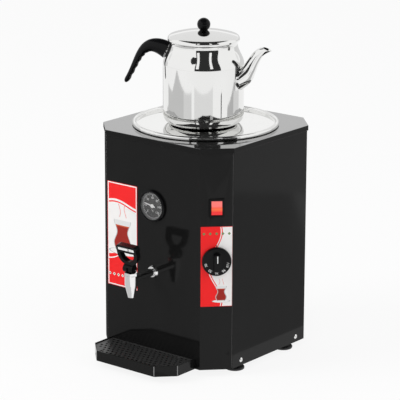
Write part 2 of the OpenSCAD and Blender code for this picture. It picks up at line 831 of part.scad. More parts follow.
// Thermostat behind the right front corner, its bulb in the tank, and the knob
bush_r = 5;
knob_foot = plate_t + knob_gap;
shaft_out = knob_foot + knob_skirt_h + grip_h - 4;
module thermostat() {
    color("#b9b2a2") on_corner(knob_h) difference() {
        union() {
            block(thermostat_w, sheet, sheet + thermostat_d, thermostat_w);
            rod_y(bush_r, -plate_t - knob_gap / 2, sheet + eps);
        }
        rod_y(shaft_r + run_fit, -knob_foot - eps, sheet + thermostat_d / 2);
    }
}
// The capillary leaves the thermostat's underside and bends once to reach the pocket in the tank's wall
module thermostat_bulb() {
    capillary_r = 1;
    bulb_stub = 3;
    tail_y = sheet + thermostat_d / 2 - corner_face + tank_in;
    color(brass) at_bulb() {
        translate([0, tail_y, 0]) {
            rod_z(capillary_r, 0, bulb_drop);
            sphere(1.2 * capillary_r);
        }
        rod_y(capillary_r, tail_y, 0);
        rod_y(bulb_r, -bulb_stub, bulb_reach);
    }
}
module thermostat_shaft() {
    color(steel) on_corner(knob_h) rod_y(shaft_r, -shaft_out, sheet + thermostat_d / 2 - 1);
}
knob_edge = 1.5;
knob_bar_inset = 10;
module control_knob() {
    skirt_top = knob_foot + knob_skirt_h;
    grip_top = skirt_top + grip_h;
    color(gloss_black) on_corner(knob_h) difference() {
        union() {
            rotate([90, 0, 0]) {
                rod_z(knob_r, knob_foot, skirt_top - knob_edge);
                cone_z(knob_r, knob_r - knob_edge, skirt_top - knob_edge, skirt_top);
            }
            intersection() {
                rod_y(knob_r - knob_bar_inset, -grip_top, -skirt_top + knob_skirt_h / 2);
                block(knob_bar_w, -2 * grip_top, 0, 2 * knob_r);
            }
        }
        rod_y(shaft_r, -shaft_out, eps);
    }
}
module control_plate() {
    color("#e8312f") on_corner(plate_z + plate_l / 2) difference() {
        block(plate_w, -plate_t, 0, plate_l);
        translate([0, 0, knob_h - plate_z - plate_l / 2]) rod_y(bush_r + touch, -plate_t - eps, eps);
    }
}

// Rocker switch above the control plate
switch_body_w = switch_w - 3;
switch_body_l = switch_l - 3;
rocker_gap = 0.3;
rocker_r = switch_l / 2 - switch_frame;
rocker_w = switch_w - 2 * switch_frame;
pivot_r = 1.5;
pivot_x = rocker_w / 2 + 0.8;
module switch_housing() {
    color(gloss_black) on_corner(switch_h) difference() {
        union() {
            block(switch_w, -switch_bezel_t, 0, switch_l);
            block(switch_body_w, 0, sheet + switch_depth, switch_body_l);
        }
        block(rocker_w + 2 * rocker_gap, -switch_bezel_t - eps, rocker_r * 0.6, 2 * (rocker_r + rocker_gap));
        rod_x(pivot_r + run_fit, -pivot_x - rocker_gap, pivot_x + rocker_gap);
    }
}
// The rocker's two faces meet at a shallow ridge, and at rest its upper end is pressed in
module switch_rocker() {
    ridge = switch_bezel_t + 3.4;
    fall = rocker_r * tan(rocker_tilt);
    color("#d8261c") on_corner(switch_h) rotate([-rocker_tilt, 0, 0]) {
        rotate([90, 0, 90]) translate([0, 0, -rocker_w / 2]) linear_extrude(rocker_w) intersection() {
            circle(rocker_r);
            polygon([
                [4, -rocker_r], [4, rocker_r],
                [fall - ridge, rocker_r], [-ridge, 0], [fall - ridge, -rocker_r]
            ]);
        }
        rod_x(pivot_r, -pivot_x, pivot_x);
    }
}

module front_label() {
    color("#f4f1f0") on_front(label_z + label_l / 2)
        translate([-body_w / 2 + corner_leg + label_inset + label_w / 2, 0, 0])
            block(label_w, -label_t, 0, label_l);
}

// Drip tray, its perforated plate and the runners under the base
tray_back = -body_d / 2 - touch;
tray_front = -body_d / 2 - tray_reach;
grid_z = base_z + tray_h - grid_drop - sheet;
tongue_z = base_z - tongue_t - 0.5;
tray_strap = 24;
grid_leg_r = 3;
module tray_outline(inset) {
    leg = tray_leg - inset * (2 - sqrt(2));
    w = tray_w / 2 - inset;
    front = tray_front + inset;
    back = tray_back - inset;
    polygon([
        [-w, back], [-w, front + leg], [-w + leg, front], [w - leg, front], [w, front + leg], [w, back]
    ]);
}
module drip_tray() {
    color(gloss_black) {
        translate([0, 0, base_z]) linear_extrude(sheet) tray_outline(0);
        translate([0, 0, base_z]) linear_extrude(tray_h) difference() {
            tray_outline(0);
            tray_outline(sheet);
        }
        translate([-tongue_w / 2, tray_back - tray_strap, tongue_z]) {
            cube([tongue_w, tray_strap, base_z - tongue_z]);
            cube([tongue_w, tray_strap + tongue_l, tongue_t]);
        }
    }
}
function grid_half(y) = tray_w / 2 - max(0, tray_leg - (y - tray_front));
module drain_holes() {
    margin = drain_r + sheet + grid_gap + 4;
    row_step = drain_step * sqrt(3) / 2;
    rows = floor((tray_back - tray_front - 2 * margin) / row_step);
    cols = ceil(tray_w / drain_step / 2);
    for (j = [0 : rows], i = [-cols : cols]) {
        x = (i + (j % 2) / 2) * drain_step;
        y = tray_front + margin + j * row_step;
        if (abs(x) < grid_half(y) - 1.2 * margin) translate([x, y, 0]) children();
    }
}
module tray_grid() {
    color(gloss_black) {
        difference() {
            translate([0, 0, grid_z]) linear_extrude(sheet) tray_outline(sheet + grid_gap);
            drain_holes() rod_z(drain_r, grid_z - eps, grid_z + sheet + eps);
        }
        for (x = [-1, 1], y = [tray_back - 2 * grid_leg_r, tray_front + 2 * grid_leg_r]) {
            translate([x * (tray_w / 2 - tray_leg - grid_leg_r), y, 0])
                rod_z(grid_leg_r, base_z + sheet, grid_z);
        }
    }
}
module tray_runners() {
    web = 2;
    lip = 5;
    lip_t = 1.2;
    lip_z = tongue_z - touch - lip_t;
    color(satin_black) for (side = [0, 1]) mirror([side, 0, 0]) {
        translate([tongue_w / 2 + touch, -body_d / 2 + 2 * sheet, lip_z]) {
            cube([web, tongue_l - 4 * sheet, base_z - lip_z]);
            translate([-lip, 0, 0]) cube([lip + web, tongue_l - 4 * sheet, lip_t]);
        }
    }
}

// Shallow pan that covers the tank's mouth and carries the pot, and the rolled rim on its edge
pan_wall_r = pan_r - 2 * rim_roll;
module pot_pan() {
    floor_bottom = pan_floor_z - pan_t;
    color(chrome) rotate_extrude($fn = 144) {
        translate([0, floor_bottom]) square([pan_wall_r + pan_t, pan_t]);
        translate([tank_in - spigot_gap - pan_t, floor_bottom - spigot_h])
            square([pan_t, spigot_h + pan_t / 2]);
    }
}
module pan_rim() {
    roll_z = cover_z + pan_rim_h - rim_roll;
    color(chrome) rotate_extrude($fn = 144) {
        translate([pan_wall_r, pan_floor_z]) square([pan_t, roll_z - pan_floor_z]);
        translate([pan_r - pan_t, cover_z + pan_edge_gap]) square([pan_t, roll_z - cover_z - pan_edge_gap]);
        translate([pan_r - rim_roll, roll_z]) intersection() {
            difference() {
                circle(rim_roll);
                circle(rim_roll - pan_t);
            }
            translate([-rim_roll, 0]) square([2 * rim_roll, rim_roll]);
        }
    }
}

// Teapot, with its foot at height 0 and the spout along +X
neck_h = 6;
rim_flare = 1.6;
neck_z = pot_h - neck_h;
shoulder_z = pot_h - shoulder_drop;
pot_rim_r = neck_r + rim_flare;
shoulder_steps = 10;
round_steps = 8;
function shoulder_r(z) = let (a = 180 * (z - shoulder_z) / (neck_z - shoulder_z))
    neck_r + (pot_r - neck_r) * (1 + cos(a)) / 2;
function pot_profile(inset) = concat(
    [for (i = [0 : round_steps]) let (a = -90 + 90 * i / round_steps)
        [pot_r - foot_round + (foot_round - inset) * cos(a), foot_round + (foot_round - inset) * sin(a)]],
    [for (i = [0 : shoulder_steps]) let (z = shoulder_z + (neck_z - shoulder_z) * i / shoulder_steps)
        [shoulder_r(z) - inset, z]]
);
drain_ring_r = 8;
strainer_r = 3;
strainer_drop = 20;
spout_z = shoulder_z - strainer_drop;
module pot_body() {
    inner = pot_profile(pot_t);
    color(chrome) at_pot() difference() {
        rotate_extrude($fn = 120) polygon(concat(
            pot_profile(0), [[pot_rim_r, pot_h - 1], [pot_rim_r, pot_h], [neck_r - pot_t, pot_h]],
            [for (i = [len(inner) - 1 : -1 : 0]) inner[i]]
        ));
        translate([0, 0, spout_z]) {
            rod_x(strainer_r, pot_r - 4 * pot_t, pot_r + 2 * pot_t);
            for (a = [0 : 60 : 300]) {
                translate([0, drain_ring_r * cos(a), drain_ring_r * sin(a)])
                    rod_x(strainer_r, pot_r - 4 * pot_t, pot_r + 2 * pot_t);
            }
        }
    }
}

function catmull(p, t) = let (
        n = len(p) - 1,
        i = min(floor(t * n), n - 1),
        u = t * n - i,
        a = p[max(i - 1, 0)],
        b = p[i],
        c = p[i + 1],
        d = p[min(i + 2, n)]
    ) (2 * b + (c - a) * u + (2 * a - 5 * b + 4 * c - d) * u * u + (3 * b - a - 3 * c + d) * u * u * u) / 2;
function ring_faces(first, sides, rings) = [
    for (i = [0 : rings - 2], j = [0 : sides - 1]) let (k = (j + 1) % sides, p = first + i * sides)
        each [[p + j, p + k, p + sides + j], [p + k, p + sides + k, p + sides + j]]
];
function flip(faces) = [for (f = faces) [f[2], f[1], f[0]]];

// Spout stations: upper edge out of the wall and up from the shoulder, lower edge likewise, half width
spout_stations = [
    [0, -1, 0, -39, 23], [7, 9, 16, -24.5, 16.5], [13, 18, 23, -8, 12],
    [21, 28, 29.5, 9, 9.2], [29, 34, 38, 22.5, 7.6], [36, 36.5, 51, 30.5, 7]
];
spout_sides = 20;
spout_rings = 21;
spout_t = 1;
spout_gap = 0.15;
function spout_ring(i, inset) = let (
        s = catmull(spout_stations, i / (spout_rings - 1)),
        wall = pot_r + spout_gap,
        top = [s[0] + wall, s[1] + shoulder_z],
        low = [s[2] + wall, s[3] + shoulder_z],
        mid = (top + low) / 2,
        half = (top - low) / 2 * (1 - 2 * inset / norm(top - low)),
        across = s[4] - inset
    ) [for (j = [0 : spout_sides - 1]) let (
        a = 360 * j / spout_sides,
        p = mid + half * sin(a),
        y = across * cos(a),
        on_wall = sqrt(wall * wall - y * y)
    ) [i == 0 ? on_wall : max(p[0], on_wall), y, p[1]]];
module pot_spout() {
    count = spout_sides * spout_rings;
    outer = [for (i = [0 : spout_rings - 1]) each spout_ring(i, 0)];
    bore = [for (i = [0 : spout_rings - 1]) each spout_ring(i, spout_t)];
    last = (spout_rings - 1) * spout_sides;
    ends = [for (j = [0 : spout_sides - 1]) let (k = (j + 1) % spout_sides) each [
        [j, count + j, k], [k, count + j, count + k],
        [last + j, last + k, last + count + j], [last + k, last + count + k, last + count + j]
    ]];
    color(chrome) at_pot() polyhedron(
        points = concat(outer, bore),
        faces = concat(
            flip(ring_faces(0, spout_sides, spout_rings)),
            ring_faces(count, spout_sides, spout_rings), flip(ends)
        ),
        convexity = 6
    );
}

// Handle opposite the spout: a bent grip that thins towards its end, with finger waves on its inner side
handle_drop = 17;
handle_off = 3;
handle_out = [46.4, 48.8, 73.6];
handle_up = [25.3, -27.3, -61.5];
handle_z = neck_z - handle_drop;
handle_ctrl = concat(
    [[shoulder_r(handle_z) + handle_off, handle_z]],
    [for (i = [0 : 2]) [pot_r + handle_out[i], handle_z + handle_up[i]]]
);
handle_sides = 16;
handle_rings = 41;
handle_thick = 4.5;
handle_swell = 11.2;
function bezier(p, t) = let (u = 1 - t)
    u * u * u * p[0] + 3 * u * u * t * p[1] + 3 * u * t * t * p[2] + t * t * t * p[3];
function bezier_dir(p, t) = let (
        u = 1 - t,
        d = u * u * (p[1] - p[0]) + 2 * u * t * (p[2] - p[1]) + t * t * (p[3] - p[2])
    ) d / norm(d);
function handle_ring(i) = let (
        t = i / (handle_rings - 1),
        c = bezier(handle_ctrl, t),
        d = bezier_dir(handle_ctrl, t),
        tip = sqrt(1 - pow(max(0, (t - 0.93) / 0.0705), 2)),
        a = (handle_thick + handle_swell * (1 - t) * (1 - t)) * tip,
        b = (grip_half - 2.5 * t) * tip,
        ripple = t > 0.4 && t < 0.92 ? wave * (1 - cos(360 * 5 * (t - 0.4) / 0.52)) / 2 : 0
    ) [for (j = [0 : handle_sides - 1]) let (
        q = 360 * j / handle_sides,
        up = a * sin(q) + ripple * max(0, -sin(q))
    ) [-c[0] + d[1] * up, b * cos(q), c[1] + d[0] * up]];
module pot_handle() {
    last = (handle_rings - 1) * handle_sides;
    points = [for (i = [0 : handle_rings - 1]) each handle_ring(i)];
    caps = [for (j = [1 : handle_sides - 2]) each [[0, j, j + 1], [last, last + j + 1, last + j]]];
    color(gloss_black) at_pot() polyhedron(
        points = points,
        faces = concat(ring_faces(0, handle_sides, handle_rings), flip(caps)),
        convexity = 6
    );
}
module pot_solid() {
    rotate_extrude($fn = 120) polygon(concat([[0, 0]], pot_profile(-0.05), [[0, neck_z]]));
}
// Steel stud plate between the pot's shoulder and the handle's end
module at_handle_end() {
    d = bezier_dir(handle_ctrl, 0);
    translate([-handle_ctrl[0][0], 0, handle_ctrl[0][1]]) rotate([0, atan2(-d[0], d[1]), 0]) children();
}
bracket_r = 6;
// Floor disc welded into the foot of the pot
module pot_base() {
    color(chrome) at_pot() rotate_extrude($fn = 120) square([pot_profile(0)[0][0], pot_t]);
}
module handle_bracket() {
    color(steel) at_pot() difference() {
        at_handle_end() rod_z(bracket_r, -7, 0);
        pot_solid();
    }
}

// Pot lid: a dome with a rounded edge and a flat seat turned in below it
lid_z = pot_h;
lid_t = 1;
lid_ball_r = (lid_r * lid_r + lid_rise * lid_rise) / (2 * lid_rise);
lid_top = lid_z + lid_edge + lid_rise;
lid_mid = lid_top - lid_ball_r;
lid_bend = min(lid_round, lid_edge - lid_t);
bend_r = lid_r - lid_bend;
bend_z = lid_mid + sqrt(pow(lid_ball_r - lid_bend, 2) - bend_r * bend_r);
bend_turn = atan2(bend_z - lid_mid, bend_r);
lid_ring_r = neck_r - pot_t - lid_gap;
lid_steps = 12;
function lid_profile(inset) = concat(
    [for (i = [0 : round_steps]) let (a = bend_turn * i / round_steps, r = lid_bend - inset)
        [bend_r + r * cos(a), bend_z + r * sin(a)]],
    [for (i = [1 : lid_steps]) let (a = bend_turn + (90 - bend_turn) * i / lid_steps, r = lid_ball_r - inset)
        [r * cos(a), lid_mid + r * sin(a)]]
);
module pot_lid() {
    under = lid_profile(lid_t);
    color(chrome) at_pot() difference() {
        rotate_extrude($fn = 120) polygon(concat(
            [[lid_r, lid_z]], lid_profile(0), [for (i = [len(under) - 1 : -1 : 0]) under[i]],
            [[lid_r - lid_t, lid_z + lid_t], [lid_ring_r, lid_z + lid_t], [lid_ring_r, lid_z]]
        ));
        rod_z(knob_screw_r + thread_fit, lid_z, lid_top + eps);
    }
}
// Seating ring pressed into the lid's seat, standing down into the pot's neck
module lid_ring() {
    color(chrome) at_pot() rotate_extrude($fn = 120)
        translate([lid_ring_r - lid_t, lid_z - lid_ring_h]) square([lid_t, lid_ring_h + lid_t]);
}
// Ball knob on a short neck, cut flat where it sits on the lid
knob_screw_r = 2;
ball_z = lid_top + ball_h;
module lid_knob() {
    color(gloss_black) at_pot() difference() {
        union() {
            translate([0, 0, ball_z]) sphere(ball_r);
            rod_z(ball_neck_r, lid_top, ball_z);
        }
        rod_z(2 * ball_r, lid_top - 2 * ball_r, lid_top);
        rod_z(knob_screw_r, lid_top - eps, ball_z);
    }
}
module lid_knob_screw() {
    color(steel) at_pot() {
        rod_z(knob_screw_r, lid_top - lid_t - 0.6, ball_z - 1);
        rod_z(2 * knob_screw_r, lid_top - lid_t - 2.6, lid_top - lid_t - 0.1);
    }
}

at_urn() base_pan();
at_urn() front_panel();
at_urn() rear_panel();
at_urn() side_panel_right();
at_urn() side_panel_left();
at_urn() top_cover();
at_urn() panel_screws();
at_urn() cable_gland();
at_urn() gland_nut();
at_urn() foot_front_left();
at_urn() foot_front_right();
at_urn() foot_rear_left();
at_urn() foot_rear_right();
at_urn() foot_nuts();
at_urn() tank();
at_urn() tank_posts();
at_urn() insulation_jacket();
at_urn() heating_element();
at_urn() heater_nuts();
at_urn() safety_cutout();
at_urn() terminal_block();
at_urn() tap_body();
at_urn() tap_flange();
at_urn() tap_nuts();
at_urn() tap_washers();
at_urn() tap_bonnet();
at_urn() tap_spring();
at_urn() tap_stem();
at_urn() tap_seal();
at_urn() lever_pin();
at_urn() tap_lever();
at_urn() lever_inlay();
at_urn() gauge_case();
at_urn() gauge_dial();
at_urn() gauge_pointer();
at_urn() gauge_glass();
at_urn() gauge_bezel();
at_urn() gauge_stem();
at_urn() thermostat();
at_urn() thermostat_bulb();
at_urn() thermostat_shaft();
at_urn() control_knob();
at_urn() control_plate();
at_urn() switch_housing();
at_urn() switch_rocker();
at_urn() front_label();
at_urn() drip_tray();
at_urn() tray_grid();
at_urn() tray_runners();
at_urn() pot_pan();
at_urn() pan_rim();
at_urn() pot_body();
at_urn() pot_spout();
at_urn() pot_handle();
at_urn() pot_base();
at_urn() handle_bracket();
at_urn() pot_lid();
at_urn() lid_ring();
at_urn() lid_knob();
at_urn() lid_knob_screw();
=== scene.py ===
import json
import math

import bmesh
import bpy
from mathutils import Matrix, Vector


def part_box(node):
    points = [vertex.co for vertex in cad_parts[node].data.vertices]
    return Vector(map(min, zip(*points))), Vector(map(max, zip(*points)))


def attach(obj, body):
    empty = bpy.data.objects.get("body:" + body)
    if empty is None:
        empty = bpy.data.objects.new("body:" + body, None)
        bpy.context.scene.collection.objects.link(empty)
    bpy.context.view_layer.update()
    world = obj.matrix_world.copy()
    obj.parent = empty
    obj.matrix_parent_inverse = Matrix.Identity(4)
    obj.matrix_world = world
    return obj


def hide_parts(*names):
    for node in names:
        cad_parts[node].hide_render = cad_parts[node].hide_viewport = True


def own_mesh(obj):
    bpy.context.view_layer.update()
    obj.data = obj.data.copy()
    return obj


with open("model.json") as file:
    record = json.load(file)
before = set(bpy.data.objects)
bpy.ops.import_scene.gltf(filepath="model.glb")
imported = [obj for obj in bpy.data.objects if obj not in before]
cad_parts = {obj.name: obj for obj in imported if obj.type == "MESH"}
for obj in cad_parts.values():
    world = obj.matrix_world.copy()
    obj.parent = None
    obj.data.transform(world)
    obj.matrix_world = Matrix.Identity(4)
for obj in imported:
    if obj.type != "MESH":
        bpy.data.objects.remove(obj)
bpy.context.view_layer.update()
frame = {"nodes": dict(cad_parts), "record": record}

# Names from the frame
NODES = frame["nodes"]
RECORD = frame["record"]
BODY_OF = {node: body for body, nodes in RECORD["behaviour"]["bodies"].items() for node in nodes}

# Units and directions
MM = 0.001
CORNER = Vector((math.sqrt(0.5), -math.sqrt(0.5), 0))
CORNER_TURN = math.radians(45)

# Camera, as the photograph was taken
CAMERA_AIM = Vector((-0.0117, 0.036, 0.25765))
CAMERA_AZIMUTH = math.radians(38.82)
CAMERA_ELEVATION = math.radians(15.72)
CAMERA_ROLL = math.radians(0.22)
CAMERA_DISTANCE = 3.862
CAMERA_LENS = 201.7

# Colours, linear
WHITE_INK = (0.93, 0.91, 0.9, 1)
RED_INK = (0.97, 0.014, 0.016, 1)
TEA_INK = (0.36, 0.02, 0.012, 1)
GREEN_INK = (0.17, 0.27, 0.1, 1)
BLACK_INK = (0.008, 0.008, 0.009, 1)


def grey(level):
    return (level, level, level, 1)


def set_camera():
    level = Vector((math.sin(CAMERA_AZIMUTH), -math.cos(CAMERA_AZIMUTH), 0))
    back = level * math.cos(CAMERA_ELEVATION) + Vector((0, 0, math.sin(CAMERA_ELEVATION)))
    right = back.cross(Vector((0, 0, -1))).normalized()
    up = back.cross(right)
    across = right * math.cos(CAMERA_ROLL) + up * math.sin(CAMERA_ROLL)
    upright = up * math.cos(CAMERA_ROLL) - right * math.sin(CAMERA_ROLL)
    data = bpy.data.cameras.new("camera")
    data.lens = CAMERA_LENS
    camera = bpy.data.objects.new("camera", data)
    turn = Matrix((across, upright, back)).transposed().to_4x4()
    camera.matrix_world = Matrix.Translation(CAMERA_AIM + back * CAMERA_DISTANCE) @ turn
    bpy.context.scene.collection.objects.link(camera)
    bpy.context.scene.camera = camera


class Socket:
    """A node's output. Reckoning with it adds Math nodes."""

    def __init__(self, tree, socket):
        self.tree = tree
        self.socket = socket

    def other(self, output):
        return Socket(self.tree, self.socket.node.outputs[output])

    def math(self, operation, first, second=0.0):
        return self.tree.node("ShaderNodeMath", {"operation": operation}, {0: first, 1: second})

    def __add__(self, other):
        return self.math("ADD", self, other)

    def __radd__(self, other):
        return self.math("ADD", other, self)

    def __sub__(self, other):
        return self.math("SUBTRACT", self, other)

    def __rsub__(self, other):
        return self.math("SUBTRACT", other, self)

    def __mul__(self, other):
        return self.math("MULTIPLY", self, other)

    def __rmul__(self, other):
        return self.math("MULTIPLY", other, self)

    def __truediv__(self, other):
        return self.math("DIVIDE", self, other)

    def __lt__(self, other):
        return self.math("LESS_THAN", self, other)

    def __gt__(self, other):
        return self.math("GREATER_THAN", self, other)

    def __abs__(self):
        return self.math("ABSOLUTE", self)

    def sine(self):
        return self.math("SINE", self)

    def cosine(self):
        return self.math("COSINE", self)

    def root(self):
        return self.math("SQRT", self)

    def fraction(self):
        return self.math("FRACT", self)

    def least(self, other):
        return self.math("MINIMUM", self, other)

    def most(self, other):
        return self.math("MAXIMUM", self, other)

    def between(self, low, high):
        return (self > low) * (self < high)


class Tree:
    """A node tree with one way to add a node."""

    def __init__(self, tree):
        self.tree = tree

    def join(self, value, socket):
        if isinstance(value, Socket):
            self.tree.links.new(value.socket, socket)
        else:
            socket.default_value = value

    def node(self, kind, settings=None, sockets=None, output=0):
        made = self.tree.nodes.new(kind)
        for key, value in (settings or {}).items():
            setattr(made, key, value)
        for key, value in (sockets or {}).items():
            self.join(value, made.inputs[key])
        return Socket(self, made.outputs[output])


class Paint(Tree):
    """A material: constants on the shader's sockets, and patterns in Object coordinates."""

    def __init__(self, name, constants):
        self.material = bpy.data.materials.new(name)
        self.material.use_nodes = True
        super().__init__(self.material.node_tree)
        self.shader = self.tree.nodes["Principled BSDF"]
        for socket, value in constants.items():
            self.feed(socket, value)

    def feed(self, socket, value):
        self.join(value, self.shader.inputs[socket])

    def object_place(self, scale=(1, 1, 1)):
        place = self.node("ShaderNodeTexCoord", output="Object")
        return self.node("ShaderNodeMapping", {}, {"Vector": place, "Scale": scale})

    def axes_mm(self):
        split = self.node("ShaderNodeSeparateXYZ", {}, {0: self.object_place()})
        return [split.other(axis) / MM for axis in range(3)]

    def noise(self, scale, detail=2.0, stretch=(1, 1, 1)):
        sockets = {"Vector": self.object_place(stretch), "Scale": scale, "Detail": detail}
        return self.node("ShaderNodeTexNoise", {}, sockets)

    def mix(self, share, first, second):
        return self.node("ShaderNodeMix", {"data_type": "RGBA"}, {0: share, 6: first, 7: second}, 2)

    def bump(self, height, depth):
        sockets = {"Strength": 1.0, "Distance": depth, "Height": height}
        self.feed("Normal", self.node("ShaderNodeBump", {}, sockets))


# Finishes
ENAMEL_SPECULAR = 0.17
POLISHING_LINES = (20, 20, 900)
COVER_TOP_SKIN = 0.35
ROCKER_GLOW = 0.25


def painted_sheet(name, shade, gloss, specular=ENAMEL_SPECULAR):
    """Stoved paint on sheet, with faint wiping marks and a fine ripple."""
    paint = Paint(name, {"Specular IOR Level": specular})
    wiped = paint.noise(9, 4, (1, 1, 0.35))
    paint.feed("Base Color", paint.mix(wiped, grey(shade * 0.75), grey(shade * 1.25)))
    paint.feed("Roughness", gloss + wiped * 0.05)
    paint.bump(paint.noise(450, 1), 0.004 * MM)
    return paint.material


def polished_metal(name, colour, rough):
    """Bright metal with faint polishing lines that run round the piece."""
    paint = Paint(name, {"Metallic": 1.0})
    cloudy = paint.noise(30, 3)
    dimmer = tuple(channel * 0.95 for channel in colour[:3]) + (1,)
    paint.feed("Base Color", paint.mix(cloudy, dimmer, colour))
    marks = paint.noise(1.0, 2, POLISHING_LINES)
    paint.feed("Roughness", rough + cloudy * 0.025 + marks * 0.02)
    paint.bump(marks, 0.0015 * MM)
    return paint.material


def moulded_plastic(name, colour, rough, grain=1800.0, specular=0.45):
    """Moulded plastic with a fine even grain."""
    paint = Paint(name, {"Specular IOR Level": specular})
    wear_and_sheen = paint.noise(60, 3)
    lighter = tuple(min(1.0, channel * 1.3 + 0.002) for channel in colour[:3]) + (1,)
    paint.feed("Base Color", paint.mix(wear_and_sheen, colour, lighter))
    paint.feed("Roughness", rough + wear_and_sheen * 0.08)
    paint.bump(paint.noise(grain, 2), 0.008 * MM)
    return paint.material


def dull_piece(name, colour, rough, metallic=0.0, grain=400.0):
    """Working pieces inside the casing: cast, drawn or woven, with an uneven tone."""
    paint = Paint(name, {"Metallic": metallic})
    mottle = paint.noise(grain, 4)
    darker = tuple(channel * 0.8 for channel in colour[:3]) + (1,)
    paint.feed("Base Color", paint.mix(mottle, darker, colour))
    paint.feed("Roughness", rough + mottle * 0.12)
    paint.bump(mottle, 0.05 * MM)
    return paint.material


def clear_glass():
    """Thin flat glass with a few faint wiping marks."""
    paint = Paint("clear_glass", {"Alpha": 0.1, "Base Color": grey(0.3)})
    paint.feed("Roughness", (paint.noise(80, 3) - 0.55).most(0.0) * 0.2 + 0.02)
    return paint.material


def cover_enamel():
    """Stoved paint of the cover, with a hard gloss on its top alone."""
    coat = {"Coat IOR": 2.0, "Coat Roughness": 0.05}
    paint = Paint("cover_enamel", {"Specular IOR Level": ENAMEL_SPECULAR, **coat})
    wiped = paint.noise(9, 4)
    paint.feed("Base Color", paint.mix(wiped, grey(0.004), grey(0.007)))
    paint.feed("Roughness", wiped * 0.05 + 0.06)
    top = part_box("top_cover")[1].z / MM
    paint.feed("Coat Weight", paint.axes_mm()[2] > top - COVER_TOP_SKIN)
    return paint.material


def lit_red_rocker():
    """Red rocker with a glow inside it, and painted light that makes it paler above where it lies back."""
    paint = Paint("lit_red_rocker", {"Roughness": 0.22, "Emission Strength": ROCKER_GLOW})
    low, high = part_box("switch_rocker")
    height = (paint.axes_mm()[2] - low.z / MM) / ((high.z - low.z) / MM)
    glow = (1.0 - abs(height - 0.45) * 5.0).most(0.0)
    # Painted light: the upper part, which lies back, is paler
    painted_top_light = ((height - 0.5) * 6.0).most(0.0).least(1.0)
    tone = paint.mix(painted_top_light, (0.8, 0.018, 0.02, 1), (0.9, 0.19, 0.17, 1))
    tone = paint.mix(glow * 0.6, tone, (1.0, 0.24, 0.06, 1))
    paint.feed("Base Color", tone)
    paint.feed("Emission Color", tone)
    return paint.material


# Print, with waves given by their level, swing, length and shift
LABEL_WAVE = (62, 7, 90, 0.6)
LABEL_WAVE_STRIPE = (-8.5, -6.5)
LABEL_RIBBON = (148, 6, 110, 2.4)
LABEL_RIBBON_STRIPE = (-6.0, -3.6)
LABEL_BORDER = 2.6
LABEL_EDGE = 0.7
LABEL_DIAMONDS_UP = 20
LABEL_DIAMOND_STEP = 9.4
PLATE_WAVE_LENGTH = 120
PLATE_WAVE_SWING = 11.0
PLATE_WAVE_SHIFT = 1.1
PLATE_STRIPE = (-2.4, -0.6)
PLATE_EDGE = 0.6
KNOB_INDEX_REACH = 4.0
KNOB_INDEX_HALF = 0.55
DIAL_RING_R = 20.3


class Picture:
    """Layers of ink on a plate, in millimetres across from its middle and up from its lower edge."""

    def __init__(self, name, across_of, node, direction):
        self.paint = Paint(name, {"Roughness": 0.3, "Specular IOR Level": 0.2})
        low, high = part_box(node)
        middle = (low + high) / 2
        self.across = across_of(*self.paint.axes_mm()) - middle.dot(direction) / MM
        self.up = self.paint.axes_mm()[2] - low.z / MM
        self.height = (high.z - low.z) / MM
        self.colour = WHITE_INK

    def ink(self, mask, colour):
        self.colour = self.paint.mix(mask, self.colour, colour)

    def within(self, centre, foot, half, tall):
        return (abs(self.across - centre) < half) * self.up.between(foot, foot + tall)

    def tea_glass(self, centre, foot, tall, wide):
        """A waisted tea glass on a saucer, nearly full, with two wisps of steam over it."""
        rise = (self.up - foot) / tall
        swell = ((rise - 0.27) * (2 * math.pi / 0.72)).cosine()
        half = (swell * 0.08 + 0.37) * wide
        off = abs(self.across - centre)
        saucer_off = (self.across - centre) / (0.72 * wide)
        saucer_up = (self.up - foot) / (0.1 * tall)
        saucer = saucer_off * saucer_off + saucer_up * saucer_up
        self.ink(saucer < 1.0, grey(0.5))
        self.ink(saucer < 0.82, WHITE_INK)
        self.ink((off < half) * rise.between(0.0, 1.0), grey(0.42))
        self.ink((off < half - 0.7) * rise.between(0.015, 1.0), grey(0.8))
        self.ink((off < half - 1.1) * rise.between(0.06, 0.84), TEA_INK)
        self.ink((off < half - 1.1) * rise.between(0.8, 0.84), (0.6, 0.09, 0.03, 1))
        for side in (-1, 1):
            sway = (self.up / (0.11 * tall) + side).sine() * (0.06 * wide)
            wisp = abs(self.across - centre - side * 0.16 * wide - sway) < 0.018 * wide
            self.ink(wisp * rise.between(1.1, 1.5), (0.85, 0.32, 0.3, 1))

    def wave(self, level, swing, length, shift):
        return (self.across * (2 * math.pi / length) + shift).sine() * swing + level

    def diamonds(self, centre_up, step, size, colour):
        along = (self.across / step + 100.5).fraction() - 0.5
        mask = abs(along) * step + abs(self.up - centre_up) < size
        self.ink(mask, colour)

    def inside(self, half):
        """How far a spot lies inside the plate's nearest edge."""
        return (half - abs(self.across)).least(self.up).least(self.height - self.up)

    def finish(self):
        self.paint.feed("Base Color", self.colour)
        return self.paint.material


